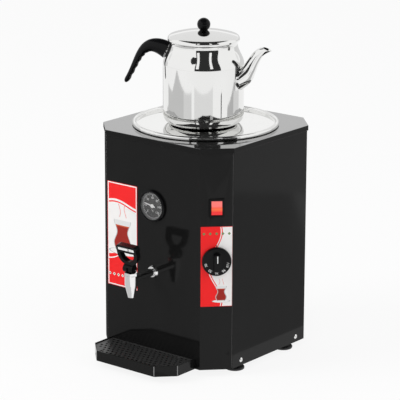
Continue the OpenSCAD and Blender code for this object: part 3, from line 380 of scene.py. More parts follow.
def label_print():
    """Front label: red waves above and below, a tea glass between, a white border with a red edge."""
    picture = Picture("label_print", lambda x, y, z: x, "front_label", Vector((1, 0, 0)))
    low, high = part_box("front_label")
    half = (high.x - low.x) / MM / 2
    swell = picture.wave(*LABEL_WAVE)
    picture.ink(picture.up < swell, RED_INK)
    ribbon = picture.wave(*LABEL_RIBBON)
    picture.ink(picture.up > ribbon, RED_INK)
    picture.ink((picture.up - ribbon).between(*LABEL_RIBBON_STRIPE), RED_INK)
    picture.ink((picture.up - swell).between(*LABEL_WAVE_STRIPE), WHITE_INK)
    picture.tea_glass(centre=0, foot=62, tall=56, wide=42)
    picture.diamonds(LABEL_DIAMONDS_UP, LABEL_DIAMOND_STEP, 3.0, WHITE_INK)
    picture.diamonds(LABEL_DIAMONDS_UP, LABEL_DIAMOND_STEP, 1.6, GREEN_INK)
    inside = picture.inside(half)
    picture.ink(inside < LABEL_BORDER, WHITE_INK)
    picture.ink(inside < LABEL_EDGE, RED_INK)
    return picture.finish()


def control_print():
    """Control plate: red and white parted by a wave, an index line over the knob, a tea glass below."""
    slope = math.sqrt(0.5)
    along = Vector((slope, slope, 0))
    picture = Picture("control_print", lambda x, y, z: (x + y) * slope, "control_plate", along)
    low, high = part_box("control_plate")
    half = (high.x - low.x) / MM / slope / 2
    knob_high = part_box("control_knob")[1]
    phase = picture.up * (2 * math.pi / PLATE_WAVE_LENGTH) + PLATE_WAVE_SHIFT
    divide = phase.sine() * PLATE_WAVE_SWING
    picture.ink(picture.across < divide - 4.0, RED_INK)
    picture.ink((picture.across - divide).between(*PLATE_STRIPE), RED_INK)
    picture.tea_glass(centre=8, foot=9, tall=26, wide=21)
    picture.diamonds(centre_up=126, step=10.5, size=2.6, colour=GREEN_INK)
    knob_top = (knob_high.z - low.z) / MM
    picture.ink(picture.within(0, knob_top - 1.0, KNOB_INDEX_HALF, KNOB_INDEX_REACH), BLACK_INK)
    picture.ink(picture.inside(half) < PLATE_EDGE, RED_INK)
    return picture.finish()


def inlay_print():
    """White inlay of the lever, in a long and a short field."""
    paint = Paint("inlay_print", {"Roughness": 0.3})
    low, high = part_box("lever_inlay")
    share = (paint.axes_mm()[0] - low.x / MM) / ((high.x - low.x) / MM)
    rough = paint.noise(300, 2)
    white = paint.mix(rough, grey(0.74), grey(0.86))
    paint.feed("Base Color", paint.mix(share.between(0.62, 0.67), white, BLACK_INK))
    return paint.material


def dial_face():
    """Black dial with a pale ring at its edge."""
    paint = Paint("dial_face", {"Roughness": 0.35})
    low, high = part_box("gauge_dial")
    middle = (low + high) / 2 / MM
    x, y, z = paint.axes_mm()
    radius = ((x - middle.x) * (x - middle.x) + (z - middle.z) * (z - middle.z)).root()
    speckle = paint.noise(900, 2)
    black = paint.mix(speckle, grey(0.014), grey(0.024))
    tone = paint.mix(radius > DIAL_RING_R + 0.8, black, grey(0.16))
    tone = paint.mix(radius.between(DIAL_RING_R, DIAL_RING_R + 0.5), tone, grey(0.7))
    paint.feed("Base Color", tone)
    return paint.material


# Shaping
SHARP_FROM = 32
# Upright edges at least this long take the painted highlight, rounded in this many steps
HIGHLIGHT_EDGE_LEAST = 12
HIGHLIGHT_EDGE_SEGMENTS = 6


def add_piece(name, mesh, body, material):
    piece = bpy.data.objects.new(name, mesh)
    bpy.context.scene.collection.objects.link(piece)
    mesh.materials.clear()
    mesh.materials.append(material)
    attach(piece, body)
    return piece


def round_edges(piece, width, segments=3):
    bevel = piece.modifiers.new("round_edges", "BEVEL")
    bevel.width = width
    bevel.segments = segments
    bevel.limit_method = "ANGLE"
    bevel.angle_limit = math.radians(SHARP_FROM)
    bevel.miter_outer = "MITER_ARC"
    bevel.harden_normals = True
    return bevel


def smooth(mesh, sharp_from=SHARP_FROM):
    mesh.shade_smooth()
    mesh.set_sharp_from_angle(angle=math.radians(sharp_from))


def outer_edges(shape, turns):
    """Upright outer edges whose faces turn by an angle in this range, in degrees."""
    chosen = []
    for edge in shape.edges:
        first, second = (vertex.co for vertex in edge.verts)
        tall = abs(first.z - second.z)
        turn = math.degrees(edge.calc_face_angle_signed(0))
        upright = tall > HIGHLIGHT_EDGE_LEAST * MM and tall > 0.99 * edge.calc_length()
        if upright and turns[0] < turn < turns[1]:
            chosen.append(edge)
    return chosen


def finished(node, material, width=0.0, wear_and_sheen=None, turns=None):
    """The node's own shape with broken edges and smooth round faces. Outer edges may carry a painted
    highlight.
    """
    shape = bmesh.new()
    shape.from_mesh(NODES[node].data)
    bmesh.ops.remove_doubles(shape, verts=shape.verts, dist=0.002 * MM)
    if width:
        flat = math.radians(0.4)
        bmesh.ops.dissolve_limit(shape, angle_limit=flat, verts=shape.verts, edges=shape.edges)
    if wear_and_sheen:
        bmesh.ops.connect_verts_concave(shape, faces=shape.faces)
        weight = shape.edges.layers.float.new("bevel_weight_edge")
        for edge in outer_edges(shape, turns):
            edge[weight] = 1.0
    mesh = bpy.data.meshes.new(node + "_finished")
    shape.to_mesh(mesh)
    shape.free()
    smooth(mesh)
    piece = add_piece(node + "_finished", mesh, BODY_OF[node], material)
    # The bevels of the chosen edges take the second slot, a painted edge highlight
    if wear_and_sheen:
        mesh.materials.append(wear_and_sheen)
        highlight_bevel = round_edges(piece, width * MM, HIGHLIGHT_EDGE_SEGMENTS)
        highlight_bevel.limit_method = "WEIGHT"
        highlight_bevel.material = 1
    if width:
        round_edges(piece, width * MM)
    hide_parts(node)
    return piece


def make_spring(metal):
    """The tap's spring, on a mesh of its own."""
    piece = finished("tap_spring", metal)
    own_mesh(piece)


def turned(name, profile, steps, place):
    """A closed mesh turned about the upright axis from (radius, height) points in millimetres."""
    shape = bmesh.new()
    rings = []
    for radius, height in profile:
        ring = []
        for i in range(steps if radius > 1e-6 else 1):
            angle = 2 * math.pi * i / steps
            spot = Vector((radius * math.cos(angle), radius * math.sin(angle), height))
            ring.append(shape.verts.new(spot * MM))
        rings.append(ring)
    for near, far in zip(rings, rings[1:]):
        for i in range(steps):
            k = (i + 1) % steps
            corners = [near[i % len(near)], near[k % len(near)], far[k % len(far)], far[i % len(far)]]
            unique = list(dict.fromkeys(corners))
            if len(unique) > 2:
                shape.faces.new(unique)
    bmesh.ops.recalc_face_normals(shape, faces=shape.faces)
    mesh = bpy.data.meshes.new(name)
    shape.to_mesh(mesh)
    shape.free()
    mesh.transform(place)
    smooth(mesh)
    return mesh


def lofted(name, rings, place, closed_rings=False):
    """A closed mesh through rings of points in millimetres, its ends capped or joined to each other."""
    shape = bmesh.new()
    verts = [[shape.verts.new(Vector(point) * MM) for point in ring] for ring in rings]
    pairs = list(zip(verts, verts[1:])) + ([(verts[-1], verts[0])] if closed_rings else [])
    for near, far in pairs:
        for i in range(len(near)):
            k = (i + 1) % len(near)
            shape.faces.new((near[i], near[k], far[k], far[i]))
    if not closed_rings:
        shape.faces.new(verts[0])
        shape.faces.new(verts[-1])
    bmesh.ops.recalc_face_normals(shape, faces=shape.faces)
    mesh = bpy.data.meshes.new(name)
    shape.to_mesh(mesh)
    shape.free()
    mesh.transform(place)
    smooth(mesh, 50)
    return mesh


def arc(centre, radius, start, end, steps):
    angles = [math.radians(start + (end - start) * i / steps) for i in range(steps + 1)]
    return [(centre[0] + radius * math.cos(a), centre[1] + radius * math.sin(a)) for a in angles]


# Teapot, in millimetres from its foot, with the spout along +X before the pot is turned
POT_R = 69.0
NECK_R = 57.5
POT_H = 144.0
NECK_Z = POT_H - 6.0
SHOULDER_Z = POT_H - 42.0
FOOT_ROUND = 17.0
POT_WALL = 1.2
RIM_R = NECK_R + 1.6
LID_R = 61.0
LID_EDGE = 6.5
LID_RISE = 10.0
LID_ROUND = 6.0
LID_RING_R = NECK_R - POT_WALL - 0.6
LID_SHEET = 1.0
POT_TURN = math.radians(19)
POT_STEPS = 192
FOOT_STEPS = 14
SHOULDER_STEPS = 32
FLARE_STEPS = 8
LID_EDGE_STEPS = 16
LID_DOME_STEPS = 40
LIP_ROUND = 0.3


def pot_place():
    low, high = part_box("pot_lid")
    middle = (low + high) / 2
    middle.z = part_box("pot_body")[0].z
    return Matrix.Translation(middle) @ Matrix.Rotation(POT_TURN, 4, "Z")


def shoulder_r(height):
    share = (height - SHOULDER_Z) / (NECK_Z - SHOULDER_Z)
    return NECK_R + (POT_R - NECK_R) * (1 + math.cos(math.pi * share)) / 2


def pot_wall(inset):
    """The pot's side from its foot to its neck, set in by the wall for the inner side."""
    foot = arc((POT_R - FOOT_ROUND, FOOT_ROUND), FOOT_ROUND - inset, -90, 0, FOOT_STEPS)
    shares = [i / SHOULDER_STEPS for i in range(SHOULDER_STEPS + 1)]
    heights = [SHOULDER_Z + (NECK_Z - SHOULDER_Z) * share for share in shares]
    return foot + [(shoulder_r(z) - inset, z) for z in heights]


def make_pot_body(metal):
    flare_h = POT_H - 1 - NECK_Z
    shares = [(i + 1) / FLARE_STEPS for i in range(FLARE_STEPS)]
    flare = [(NECK_R + (RIM_R - NECK_R) * share ** 2, NECK_Z + flare_h * share) for share in shares]
    rim = flare + [(RIM_R, POT_H - LIP_ROUND), (RIM_R - LIP_ROUND, POT_H)]
    inner_r = NECK_R - POT_WALL
    lip = [(inner_r + LIP_ROUND, POT_H), (inner_r, POT_H - LIP_ROUND)]
    outline = pot_wall(0) + rim + lip + pot_wall(POT_WALL)[::-1]
    mesh = turned("pot_vessel", outline + outline[:1], POT_STEPS, pot_place())
    merge_doubles(mesh)
    piece = add_piece("pot_vessel", mesh, BODY_OF["pot_body"], metal)
    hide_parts("pot_body")


def lid_side(inset):
    """The lid from its rounded edge up to its middle, set in by the sheet for the under side."""
    ball = (LID_R * LID_R + LID_RISE * LID_RISE) / (2 * LID_RISE)
    middle = POT_H + LID_EDGE + LID_RISE - ball
    bend_r = LID_R - LID_ROUND
    bend_z = middle + math.sqrt((ball - LID_ROUND) ** 2 - bend_r ** 2)
    turn = math.degrees(math.atan2(bend_z - middle, bend_r))
    edge = arc((bend_r, bend_z), LID_ROUND - inset, 0, turn, LID_EDGE_STEPS)
    dome = arc((0, middle), ball - inset, turn, 90, LID_DOME_STEPS)
    return edge + dome[1:]


def make_pot_lid(metal):
    edge = [(LID_R - 0.4, POT_H), (LID_R, POT_H + 0.4)]
    seat_z = POT_H + LID_SHEET
    seat = [(LID_R - LID_SHEET, seat_z), (LID_RING_R, seat_z), (LID_RING_R, POT_H)]
    profile = edge + lid_side(0) + lid_side(LID_SHEET)[::-1] + seat + edge[:1]
    mesh = turned("pot_lid_dome", profile, POT_STEPS, pot_place())
    merge_doubles(mesh)
    piece = add_piece("pot_lid_dome", mesh, BODY_OF["pot_lid"], metal)
    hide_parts("pot_lid")


def merge_doubles(mesh):
    shape = bmesh.new()
    shape.from_mesh(mesh)
    bmesh.ops.remove_doubles(shape, verts=shape.verts, dist=0.001 * MM)
    bmesh.ops.recalc_face_normals(shape, faces=shape.faces)
    shape.to_mesh(mesh)
    shape.free()
    smooth(mesh)


# Spout stations: upper edge out of the wall and up from the shoulder, lower edge likewise, half width
SPOUT_STATIONS = [
    (0, -1, 0, -39, 23), (7, 9, 16, -24.5, 16.5), (13, 18, 23, -8, 12),
    (21, 28, 29.5, 9, 9.2), (29, 34, 38, 22.5, 7.6), (36, 36.5, 51, 30.5, 7),
]
SPOUT_WALL = 1.0
SPOUT_GAP = 0.15
SPOUT_RINGS = 60
SPOUT_SIDES = 48


def station_at(points, share):
    """A smooth run through all the stations."""
    last = len(points) - 1
    i = min(int(share * last), last - 1)
    u = share * last - i
    a, b, c, d = (points[min(max(i + k, 0), last)] for k in (-1, 0, 1, 2))
    values = []
    for p, q, r, s in zip(a, b, c, d):
        square = 2 * p - 5 * q + 4 * r - s
        cube = 3 * q - p - 3 * r + s
        values.append((2 * q + (r - p) * u + square * u * u + cube * u ** 3) / 2)
    return values


def spout_ring(share, inset):
    out_top, up_top, out_low, up_low, across = station_at(SPOUT_STATIONS, share)
    wall = POT_R + SPOUT_GAP
    top = Vector((out_top + wall, up_top + SHOULDER_Z))
    low = Vector((out_low + wall, up_low + SHOULDER_Z))
    middle = (top + low) / 2
    half = (top - low) / 2 * (1 - 2 * inset / (top - low).length)
    ring = []
    for j in range(SPOUT_SIDES):
        angle = 2 * math.pi * j / SPOUT_SIDES
        y = (across - inset) * math.cos(angle)
        on_wall = math.sqrt(wall * wall - y * y)
        point = middle + half * math.sin(angle)
        ring.append((on_wall if share == 0 else max(point.x, on_wall), y, point.y))
    return ring


def make_spout(metal):
    shares = [i / (SPOUT_RINGS - 1) for i in range(SPOUT_RINGS)]
    outer = [spout_ring(share, 0) for share in shares]
    bore = [spout_ring(share, SPOUT_WALL) for share in reversed(shares)]
    mesh = lofted("pot_spout_drawn", outer + bore, pot_place(), closed_rings=True)
    piece = add_piece("pot_spout_drawn", mesh, BODY_OF["pot_spout"], metal)
    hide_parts("pot_spout")


# Handle: a bent grip opposite the spout with finger waves on its inner side
HANDLE_Z = NECK_Z - 17.0
HANDLE_CURVE = [
    Vector((shoulder_r(HANDLE_Z) + 3, HANDLE_Z)), Vector((POT_R + 46.4, HANDLE_Z + 25.3)),
    Vector((POT_R + 48.8, HANDLE_Z - 27.3)), Vector((POT_R + 73.6, HANDLE_Z - 61.5)),
]
HANDLE_RINGS = 150
HANDLE_SIDES = 40
HANDLE_THICK = 4.5
HANDLE_SWELL = 11.2
HANDLE_HALF = 9.5
HANDLE_TAPER = 2.5
FINGER_WAVE = 1.1
FINGER_WAVES = 5
FINGER_SPAN = (0.4, 0.92)
TIP_FROM = 0.93
TIP_END = 1.0005


def handle_ring(share):
    a, b, c, d = HANDLE_CURVE
    u = 1 - share
    centre = u ** 3 * a + 3 * u * u * share * b + 3 * u * share * share * c + share ** 3 * d
    along = (u * u * (b - a) + 2 * u * share * (c - b) + share * share * (d - c)).normalized()
    tip = math.sqrt(1 - (max(0.0, share - TIP_FROM) / (TIP_END - TIP_FROM)) ** 2)
    thick = (HANDLE_THICK + HANDLE_SWELL * u * u) * tip
    half = (HANDLE_HALF - HANDLE_TAPER * share) * tip
    start, end = FINGER_SPAN
    swell = 0.0
    if start < share < end:
        phase = 2 * math.pi * FINGER_WAVES * (share - start) / (end - start)
        swell = FINGER_WAVE * (1 - math.cos(phase)) / 2
    ring = []
    for j in range(HANDLE_SIDES):
        angle = 2 * math.pi * j / HANDLE_SIDES
        up = thick * math.sin(angle) + swell * max(0.0, -math.sin(angle))
        ring.append((-centre.x + along.y * up, half * math.cos(angle), centre.y + along.x * up))
    return ring


def make_handle(plastic):
    rings = [handle_ring(i / (HANDLE_RINGS - 1)) for i in range(HANDLE_RINGS)]
    mesh = lofted("pot_handle_grip", rings, pot_place())
    piece = add_piece("pot_handle_grip", mesh, BODY_OF["pot_handle"], plastic)
    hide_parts("pot_handle")


# Marks that repeat


def marks_tree():
    """A ring of flat marks that face -Y and point at the middle. A single mark stands at the start."""
    group = bpy.data.node_groups.new("ring_of_marks", "GeometryNodeTree")
    sizes = {"Count": "NodeSocketInt"}
    for name in ("Radius", "Start", "Sweep", "Length", "Width", "Thickness"):
        sizes[name] = "NodeSocketFloat"
    sizes["Ink"] = "NodeSocketMaterial"
    group.interface.new_socket("Geometry", in_out="INPUT", socket_type="NodeSocketGeometry")
    for name, kind in sizes.items():
        group.interface.new_socket(name, in_out="INPUT", socket_type=kind)
    group.interface.new_socket("Geometry", in_out="OUTPUT", socket_type="NodeSocketGeometry")
    tree = Tree(group)
    given = tree.node("NodeGroupInput")
    size = {name: given.other(name) for name in sizes}
    index = tree.node("GeometryNodeInputIndex")
    angle = size["Start"] + size["Sweep"] * index / (size["Count"] - 1.0)
    across = angle.cosine() * size["Radius"]
    up = angle.sine() * size["Radius"]
    spot = tree.node("ShaderNodeCombineXYZ", {}, {0: across, 2: up})
    points = tree.node("GeometryNodePoints", {}, {"Count": size["Count"], "Position": spot})
    sides = {0: size["Length"], 1: size["Thickness"], 2: size["Width"]}
    extent = tree.node("ShaderNodeCombineXYZ", {}, sides)
    bar = tree.node("GeometryNodeMeshCube", {}, {"Size": extent})
    turn = tree.node("ShaderNodeCombineXYZ", {}, {1: angle * -1.0})
    spread = {"Points": points, "Instance": bar, "Rotation": turn}
    copies = tree.node("GeometryNodeInstanceOnPoints", {}, spread)
    real = tree.node("GeometryNodeRealizeInstances", {}, {"Geometry": copies})
    inked = tree.node("GeometryNodeSetMaterial", {}, {"Geometry": real, "Material": size["Ink"]})
    out = group.nodes.new("NodeGroupOutput")
    tree.join(inked, out.inputs["Geometry"])
    return group


def grown(group, values):
    """The plain mesh that a node group makes with these named inputs."""
    holder = bpy.data.objects.new(group.name, bpy.data.meshes.new(group.name))
    bpy.context.scene.collection.objects.link(holder)
    modifier = holder.modifiers.new(group.name, "NODES")
    modifier.node_group = group
    for item in group.interface.items_tree:
        if item.in_out == "INPUT" and item.name in values:
            modifier[item.identifier] = values[item.name]
    graph = bpy.context.evaluated_depsgraph_get()
    mesh = bpy.data.meshes.new_from_object(holder.evaluated_get(graph))
    bpy.data.objects.remove(holder)
    return mesh


INK_THICKNESS = 0.06


def numeral(words, size):
    """Upright figures as a thin closed mesh that faces -Y, centred on the origin."""
    curve = bpy.data.curves.new("numeral", "FONT")
    curve.body = words
    curve.size = size * MM
    curve.align_x = "CENTER"
    curve.align_y = "CENTER"
    curve.extrude = INK_THICKNESS * MM / 2
    curve.resolution_u = 4
    holder = bpy.data.objects.new("numeral", curve)
    bpy.context.scene.collection.objects.link(holder)
    graph = bpy.context.evaluated_depsgraph_get()
    mesh = bpy.data.meshes.new_from_object(holder.evaluated_get(graph))
    bpy.data.objects.remove(holder)
    mesh.transform(Matrix.Rotation(math.pi / 2, 4, "X"))
    return mesh


def joined(name, meshes, place):
    shape = bmesh.new()
    for mesh in meshes:
        shape.from_mesh(mesh)
    bmesh.ops.remove_doubles(shape, verts=shape.verts, dist=0.0001 * MM)
    bmesh.ops.recalc_face_normals(shape, faces=shape.faces)
    mesh = bpy.data.meshes.new(name)
    shape.to_mesh(mesh)
    shape.free()
    mesh.transform(place)
    return mesh


def ring_spot(angle, radius):
    return Vector((radius * MM * math.cos(angle), 0, radius * MM * math.sin(angle)))


SCALE_START = math.radians(225)
SCALE_SWEEP = math.radians(-270)
SCALE_TOP = 120
SCALE_STEP = 20
SHORT_TICKS_PER_STEP = 5
NUMERAL_R = 14.2
NUMERAL_SIZE = 5.2
UNIT_SIZE = 4.4
UNIT_DROP = 8.5


def make_dial_scale(ring, ink):
    """Ticks and figures of the thermometer, lying on the dial."""
    low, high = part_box("gauge_dial")
    middle = (low + high) / 2
    place = Matrix.Translation((middle.x, low.y - INK_THICKNESS * MM / 2, middle.z))
    size = {"Start": SCALE_START, "Sweep": SCALE_SWEEP, "Thickness": INK_THICKNESS * MM, "Ink": ink}
    marks = SCALE_TOP // SCALE_STEP
    long_ticks = {"Count": marks + 1, "Radius": 18.4 * MM, "Length": 3.4 * MM, "Width": 0.8 * MM}
    short_count = marks * SHORT_TICKS_PER_STEP + 1
    short_ticks = {"Count": short_count, "Radius": 19.2 * MM, "Length": 1.8 * MM, "Width": 0.4 * MM}
    meshes = [grown(ring, {**size, **long_ticks}), grown(ring, {**size, **short_ticks})]
    for mark in range(marks + 1):
        mesh = numeral(str(mark * SCALE_STEP), NUMERAL_SIZE)
        angle = SCALE_START + SCALE_SWEEP * mark / marks
        mesh.transform(Matrix.Translation(ring_spot(angle, NUMERAL_R)))
        meshes.append(mesh)
    unit = numeral("°C", UNIT_SIZE)
    unit.transform(Matrix.Translation((0, 0, -UNIT_DROP * MM)))
    meshes.append(unit)
    add_piece("gauge_scale", joined("gauge_scale", meshes, place), "urn", ink)


KNOB_FIGURES = ("30", "50", "70", "90", "110")
KNOB_FIGURE_FROM = math.radians(196)
KNOB_FIGURE_TO = math.radians(344)
KNOB_FIGURE_R = 18.6
KNOB_FIGURE_SIZE = 6.0
KNOB_LINE_FROM = 1.0
KNOB_LINE_TO = 13.4
KNOB_LINE_WIDTH = 1.4
SKIRT_OUT = 7.4
GRIP_OUT = 19.4


def make_knob_scale(ring, ink):
    """Figures round the knob's skirt and the line on its grip."""
    low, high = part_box("control_knob")
    knob_front = max(vertex.co.dot(CORNER) for vertex in NODES["control_knob"].data.vertices)
    centre = (low + high) / 2
    centre += CORNER * (knob_front - centre.dot(CORNER))
    upright = Matrix.Translation(centre) @ Matrix.Rotation(CORNER_TURN, 4, "Z")
    skirt_back = (GRIP_OUT - SKIRT_OUT) * MM - INK_THICKNESS * MM / 2
    meshes = []
    for i, words in enumerate(KNOB_FIGURES):
        angle = KNOB_FIGURE_FROM + (KNOB_FIGURE_TO - KNOB_FIGURE_FROM) * i / (len(KNOB_FIGURES) - 1)
        mesh = numeral(words, KNOB_FIGURE_SIZE)
        mesh.transform(Matrix.Rotation(math.pi / 2 - angle, 4, "Y"))
        mesh.transform(Matrix.Translation(ring_spot(angle, KNOB_FIGURE_R) + Vector((0, skirt_back, 0))))
        meshes.append(mesh)
    line = {"Count": 1, "Start": math.pi / 2, "Sweep": 0.0, "Ink": ink}
    line["Radius"] = (KNOB_LINE_FROM + KNOB_LINE_TO) / 2 * MM
    line["Length"] = (KNOB_LINE_TO - KNOB_LINE_FROM) * MM
    line["Width"] = KNOB_LINE_WIDTH * MM
    line["Thickness"] = INK_THICKNESS * MM
    mark = grown(ring, line)
    mark.transform(Matrix.Translation((0, -INK_THICKNESS * MM / 2, 0)))
    meshes.append(mark)
    add_piece("knob_scale", joined("knob_scale", meshes, upright), "control_knob", ink)


# Stage


def seen_ways(tree):
    """One for camera, glossy and transmission rays, and nought for the light that falls on things."""
    path = tree.node("ShaderNodeLightPath", {}, {}, "Is Camera Ray")
    return path.most(path.other("Is Glossy Ray")).most(path.other("Is Transmission Ray"))


FLOOR_SIZE = 16.0
FLOOR_DROP = 0.2 * MM
FLOOR_GLOW = 0.88
WORLD_LIGHT = 0.62
URN_MIDDLE = (0, 0.036, 0.3)


def make_floor():
    """Pale floor that looks white and keeps the object's shadow."""
    shape = bmesh.new()
    bmesh.ops.create_grid(shape, x_segments=1, y_segments=1, size=FLOOR_SIZE / 2)
    mesh = bpy.data.meshes.new("floor")
    shape.to_mesh(mesh)
    shape.free()
    mesh.transform(Matrix.Translation((0, 0, -FLOOR_DROP)))
    floor = bpy.data.objects.new("floor", mesh)
    bpy.context.scene.collection.objects.link(floor)
    paint = Paint("pale_floor", {"Base Color": grey(0.92), "Roughness": 0.9, "Specular IOR Level": 0.0})
    glow = paint.node("ShaderNodeEmission", {}, {"Color": grey(1.0), "Strength": 1.0})
    diffuse = Socket(paint, paint.shader.outputs["BSDF"])
    share = seen_ways(paint) * FLOOR_GLOW
    blend = paint.node("ShaderNodeMixShader", {}, {0: share, 1: diffuse, 2: glow})
    paint.join(blend, paint.tree.nodes["Material Output"].inputs["Surface"])
    mesh.materials.append(paint.material)


def make_world():
    world = bpy.data.worlds.new("studio")
    world.use_nodes = True
    bpy.context.scene.world = world
    tree = Tree(world.node_tree)
    background = world.node_tree.nodes["Background"]
    tree.join(grey(1.0), background.inputs["Color"])
    tree.join(seen_ways(tree) * (1.0 - WORLD_LIGHT) + WORLD_LIGHT, background.inputs["Strength"])


def face_to(place, target):
    return (Vector(target) - Vector(place)).to_track_quat("-Z", "Y").to_matrix().to_4x4()


def make_lamp(name, place, target, size, power):
    data = bpy.data.lights.new(name, "AREA")
    data.shape = "SQUARE"
    data.size = size
    data.energy = power
    lamp = bpy.data.objects.new(name, data)
    lamp.matrix_world = Matrix.Translation(place) @ face_to(place, target)
    lamp.visible_glossy = False
    bpy.context.scene.collection.objects.link(lamp)


def seen_in_mirrors_only(card, shade):
    """A studio card that only reflections see."""
    matt = {"Base Color": grey(0.0), "Roughness": 1.0, "Specular IOR Level": 0.0}
    glow = {"Emission Color": grey(1.0), "Emission Strength": shade}
    paint = Paint(card.name, {**matt, **glow})
    card.data.materials.append(paint.material)
    card.visible_camera = False
    card.visible_diffuse = False
    card.visible_transmission = False
    card.visible_shadow = False


def make_card(name, bearing, distance, width, low, high, shade):
    """A card that stands by the urn, at a bearing in degrees to the right of the camera."""
    angle = math.radians(bearing) + CAMERA_AZIMUTH
    place = Vector((math.sin(angle), -math.cos(angle), 0)) * distance + Vector(URN_MIDDLE)
    across = Vector((math.cos(angle), math.sin(angle), 0)) * (width / 2)
    ends = ((-1, low), (1, low), (1, high), (-1, high))
    corners = [place + across * side + Vector((0, 0, height - place.z)) for side, height in ends]
    add_card(name, corners, shade)


def add_card(name, corners, shade):
    mesh = bpy.data.meshes.new(name)
    mesh.from_pydata(corners, [], [(0, 1, 2, 3)])
    card = bpy.data.objects.new(name, mesh)
    bpy.context.scene.collection.objects.link(card)
    seen_in_mirrors_only(card, shade)


# Dressing
set_camera()
black = painted_sheet("black_enamel", 0.0075, 0.06)
# Pale paint for the bevels of bends and free edges: a painted highlight
edge_highlight_black = painted_sheet("painted_edge_highlight", 0.22, 0.2, 0.5)
cover_black = cover_enamel()
plate_black = painted_sheet("plate_enamel", 0.03, 0.3, 0.5)
base_black = painted_sheet("base_paint", 0.01, 0.3)
steel = polished_metal("polished_steel", (0.86, 0.86, 0.85, 1), 0.03)
plain_steel = polished_metal("plain_steel", (0.6, 0.6, 0.59, 1), 0.28)
chrome = polished_metal("chrome_plate", (0.9, 0.9, 0.9, 1), 0.03)
glossy_plastic = moulded_plastic("black_plastic", (0.003, 0.003, 0.0035, 1), 0.14, 1800.0, 0.14)
dull_plastic = moulded_plastic("dull_plastic", (0.012, 0.012, 0.013, 1), 0.45, 900.0)
white_ink = moulded_plastic("white_ink", (0.9, 0.9, 0.89, 1), 0.35)
brass = dull_piece("brass", (0.66, 0.45, 0.16, 1), 0.25, 1.0, 120.0)
wool = dull_piece("mineral_wool", (0.62, 0.56, 0.4, 1), 0.85)
silicone = dull_piece("silicone", (0.6, 0.1, 0.05, 1), 0.5)
pale_plastic = dull_piece("pale_plastic", (0.7, 0.66, 0.56, 1), 0.45)
spring_steel = dull_piece("spring_steel", (0.5, 0.5, 0.5, 1), 0.3, 1.0)
seal_rubber = dull_piece("seal_rubber", (0.7, 0.69, 0.66, 1), 0.6)

PLAIN_NODES = {
    plain_steel: (
        "tank", "tank_posts", "heating_element", "thermostat_shaft", "handle_bracket", "lid_knob_screw",
    ),
    brass: ("heater_nuts", "tap_nuts", "gauge_stem", "thermostat_bulb"),
    wool: ("insulation_jacket",),
    silicone: ("tap_washers",),
    pale_plastic: ("terminal_block", "thermostat"),
    seal_rubber: ("tap_seal",),
    dull_plastic: ("gland_nut", "safety_cutout", "gauge_case"),
    clear_glass(): ("gauge_glass",),
    dial_face(): ("gauge_dial",),
    label_print(): ("front_label",),
    control_print(): ("control_plate",),
    inlay_print(): ("lever_inlay",),
    white_ink: ("gauge_pointer",),
}
for material, nodes in PLAIN_NODES.items():
    for node in nodes:
        for slot in NODES[node].material_slots:
            slot.material = material

# Pieces that keep their CAD shape: node, finish, and the rounding of their edges in millimetres or nought
FINISHED_NODES = [
    ("rear_panel", black, 0.5), ("side_panel_right", black, 0.5),
    ("side_panel_left", black, 0.5), ("top_cover", cover_black, 0.7), ("base_pan", base_black, 0.4),
    ("tray_grid", plate_black, 0.0), ("tray_runners", base_black, 0.2),
    ("panel_screws", steel, 0.15), ("cable_gland", dull_plastic, 0.5), ("foot_nuts", steel, 0.3),
    *((f"foot_{end}_{side}", dull_plastic, 0.4) for end in ("front", "rear") for side in ("left", "right")),
    ("tap_body", chrome, 0.35), ("tap_flange", chrome, 0.4), ("tap_bonnet", chrome, 0.4),
    ("tap_stem", chrome, 0.15), ("lever_pin", chrome, 0.25), ("tap_lever", glossy_plastic, 1.1),
    ("gauge_bezel", glossy_plastic, 0.5), ("control_knob", glossy_plastic, 0.8),
    ("switch_housing", glossy_plastic, 0.5), ("switch_rocker", lit_red_rocker(), 0.4),
    ("pot_pan", steel, 0.25), ("pan_rim", steel, 0.2), ("pot_base", steel, 0.0),
    ("lid_ring", steel, 0.2), ("lid_knob", glossy_plastic, 0.4),
]
for node, material, width in FINISHED_NODES:
    finished(node, material, width)

# Pieces whose bends or free edges carry a painted highlight, where the faces turn by an angle in these
# ranges
TRAY_BENDS = (40, 50)
PANEL_ENDS = (120, 140)
finished("drip_tray", black, 0.8, edge_highlight_black, TRAY_BENDS)
finished("front_panel", black, 0.45, edge_highlight_black, PANEL_ENDS)

make_spring(spring_steel)
make_pot_body(steel)
make_pot_lid(steel)
make_spout(steel)
make_handle(glossy_plastic)

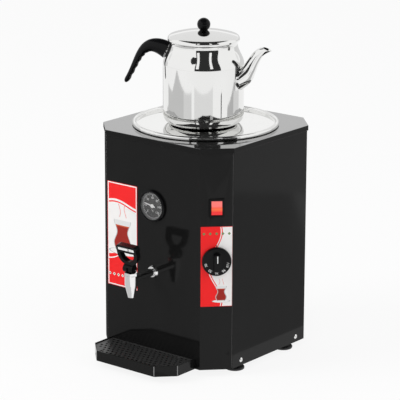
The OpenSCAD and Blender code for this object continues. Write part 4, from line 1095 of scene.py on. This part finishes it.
ring = marks_tree()
make_dial_scale(ring, white_ink)
make_knob_scale(ring, white_ink)

make_floor()
make_world()
make_lamp("key_light", (-1.6, -2.2, 2.6), URN_MIDDLE, size=1.6, power=52)
make_lamp("fill_light", (2.4, 0.2, 1.8), URN_MIDDLE, size=1.4, power=14)

# Cards that lie flat: corners and shade
FLOOR_CARD_Z = 0.001
FLOOR_CARDS = {
    "front_floor_card": (((-1.7, -0.13), (-1.7, -1.9), (0.11, -1.9), (0.11, -0.13)), 0.6),
    "right_floor_card": (((0.2, -0.1), (1.6, 0.6), (1.6, 1.9), (0.2, 0.3)), 0.5),
    "behind_left_card": (((-0.2, -0.13), (-0.09, 0.01), (-1.9, 1.5), (-2.01, 1.36)), 0.04),
}
for name, (corners, shade) in FLOOR_CARDS.items():
    add_card(name, [(x, y, FLOOR_CARD_Z) for x, y in corners], shade)
CEILING_Z = 4.0
CEILING = ((-3.7, -0.4), (1.1, 3.4), (5.0, -1.6), (0.2, -5.4))
add_card("ceiling_card", [(x, y, CEILING_Z) for x, y in CEILING], 0.03)

# Cards that stand: name, bearing, distance, width, lower and upper edge, shade
CARDS = [
    ("left_card", -92, 1.15, 1.0, 0.0, 0.2, 0.6),
    ("near_left_card", -45, 1.15, 0.48, 0.0, 0.2, 0.72),
    ("middle_card", 0, 1.15, 1.1, 0.0, 0.2, 0.8),
    ("dark_line_card", 50, 1.15, 0.05, 0.0, 0.2, 0.02),
    ("right_card", 104, 1.15, 0.5, 0.0, 0.2, 0.72),
    ("room_card", 12, 3.0, 4.6, 0.3, 8.0, 0.03),
    ("left_window_card", -18, 2.8, 0.4, 1.1, 3.0, 1.0),
    ("right_window_card", 23, 2.8, 0.4, 1.1, 3.0, 1.0),
    ("low_back_card", 180, 2.5, 8.0, 0.0, 0.95, 0.72),
    ("high_back_card", 180, 2.5, 8.0, 1.25, 4.0, 0.85),
]
for card in CARDS:
    make_card(*card)

scene = bpy.context.scene
scene.view_settings.view_transform = "Standard"
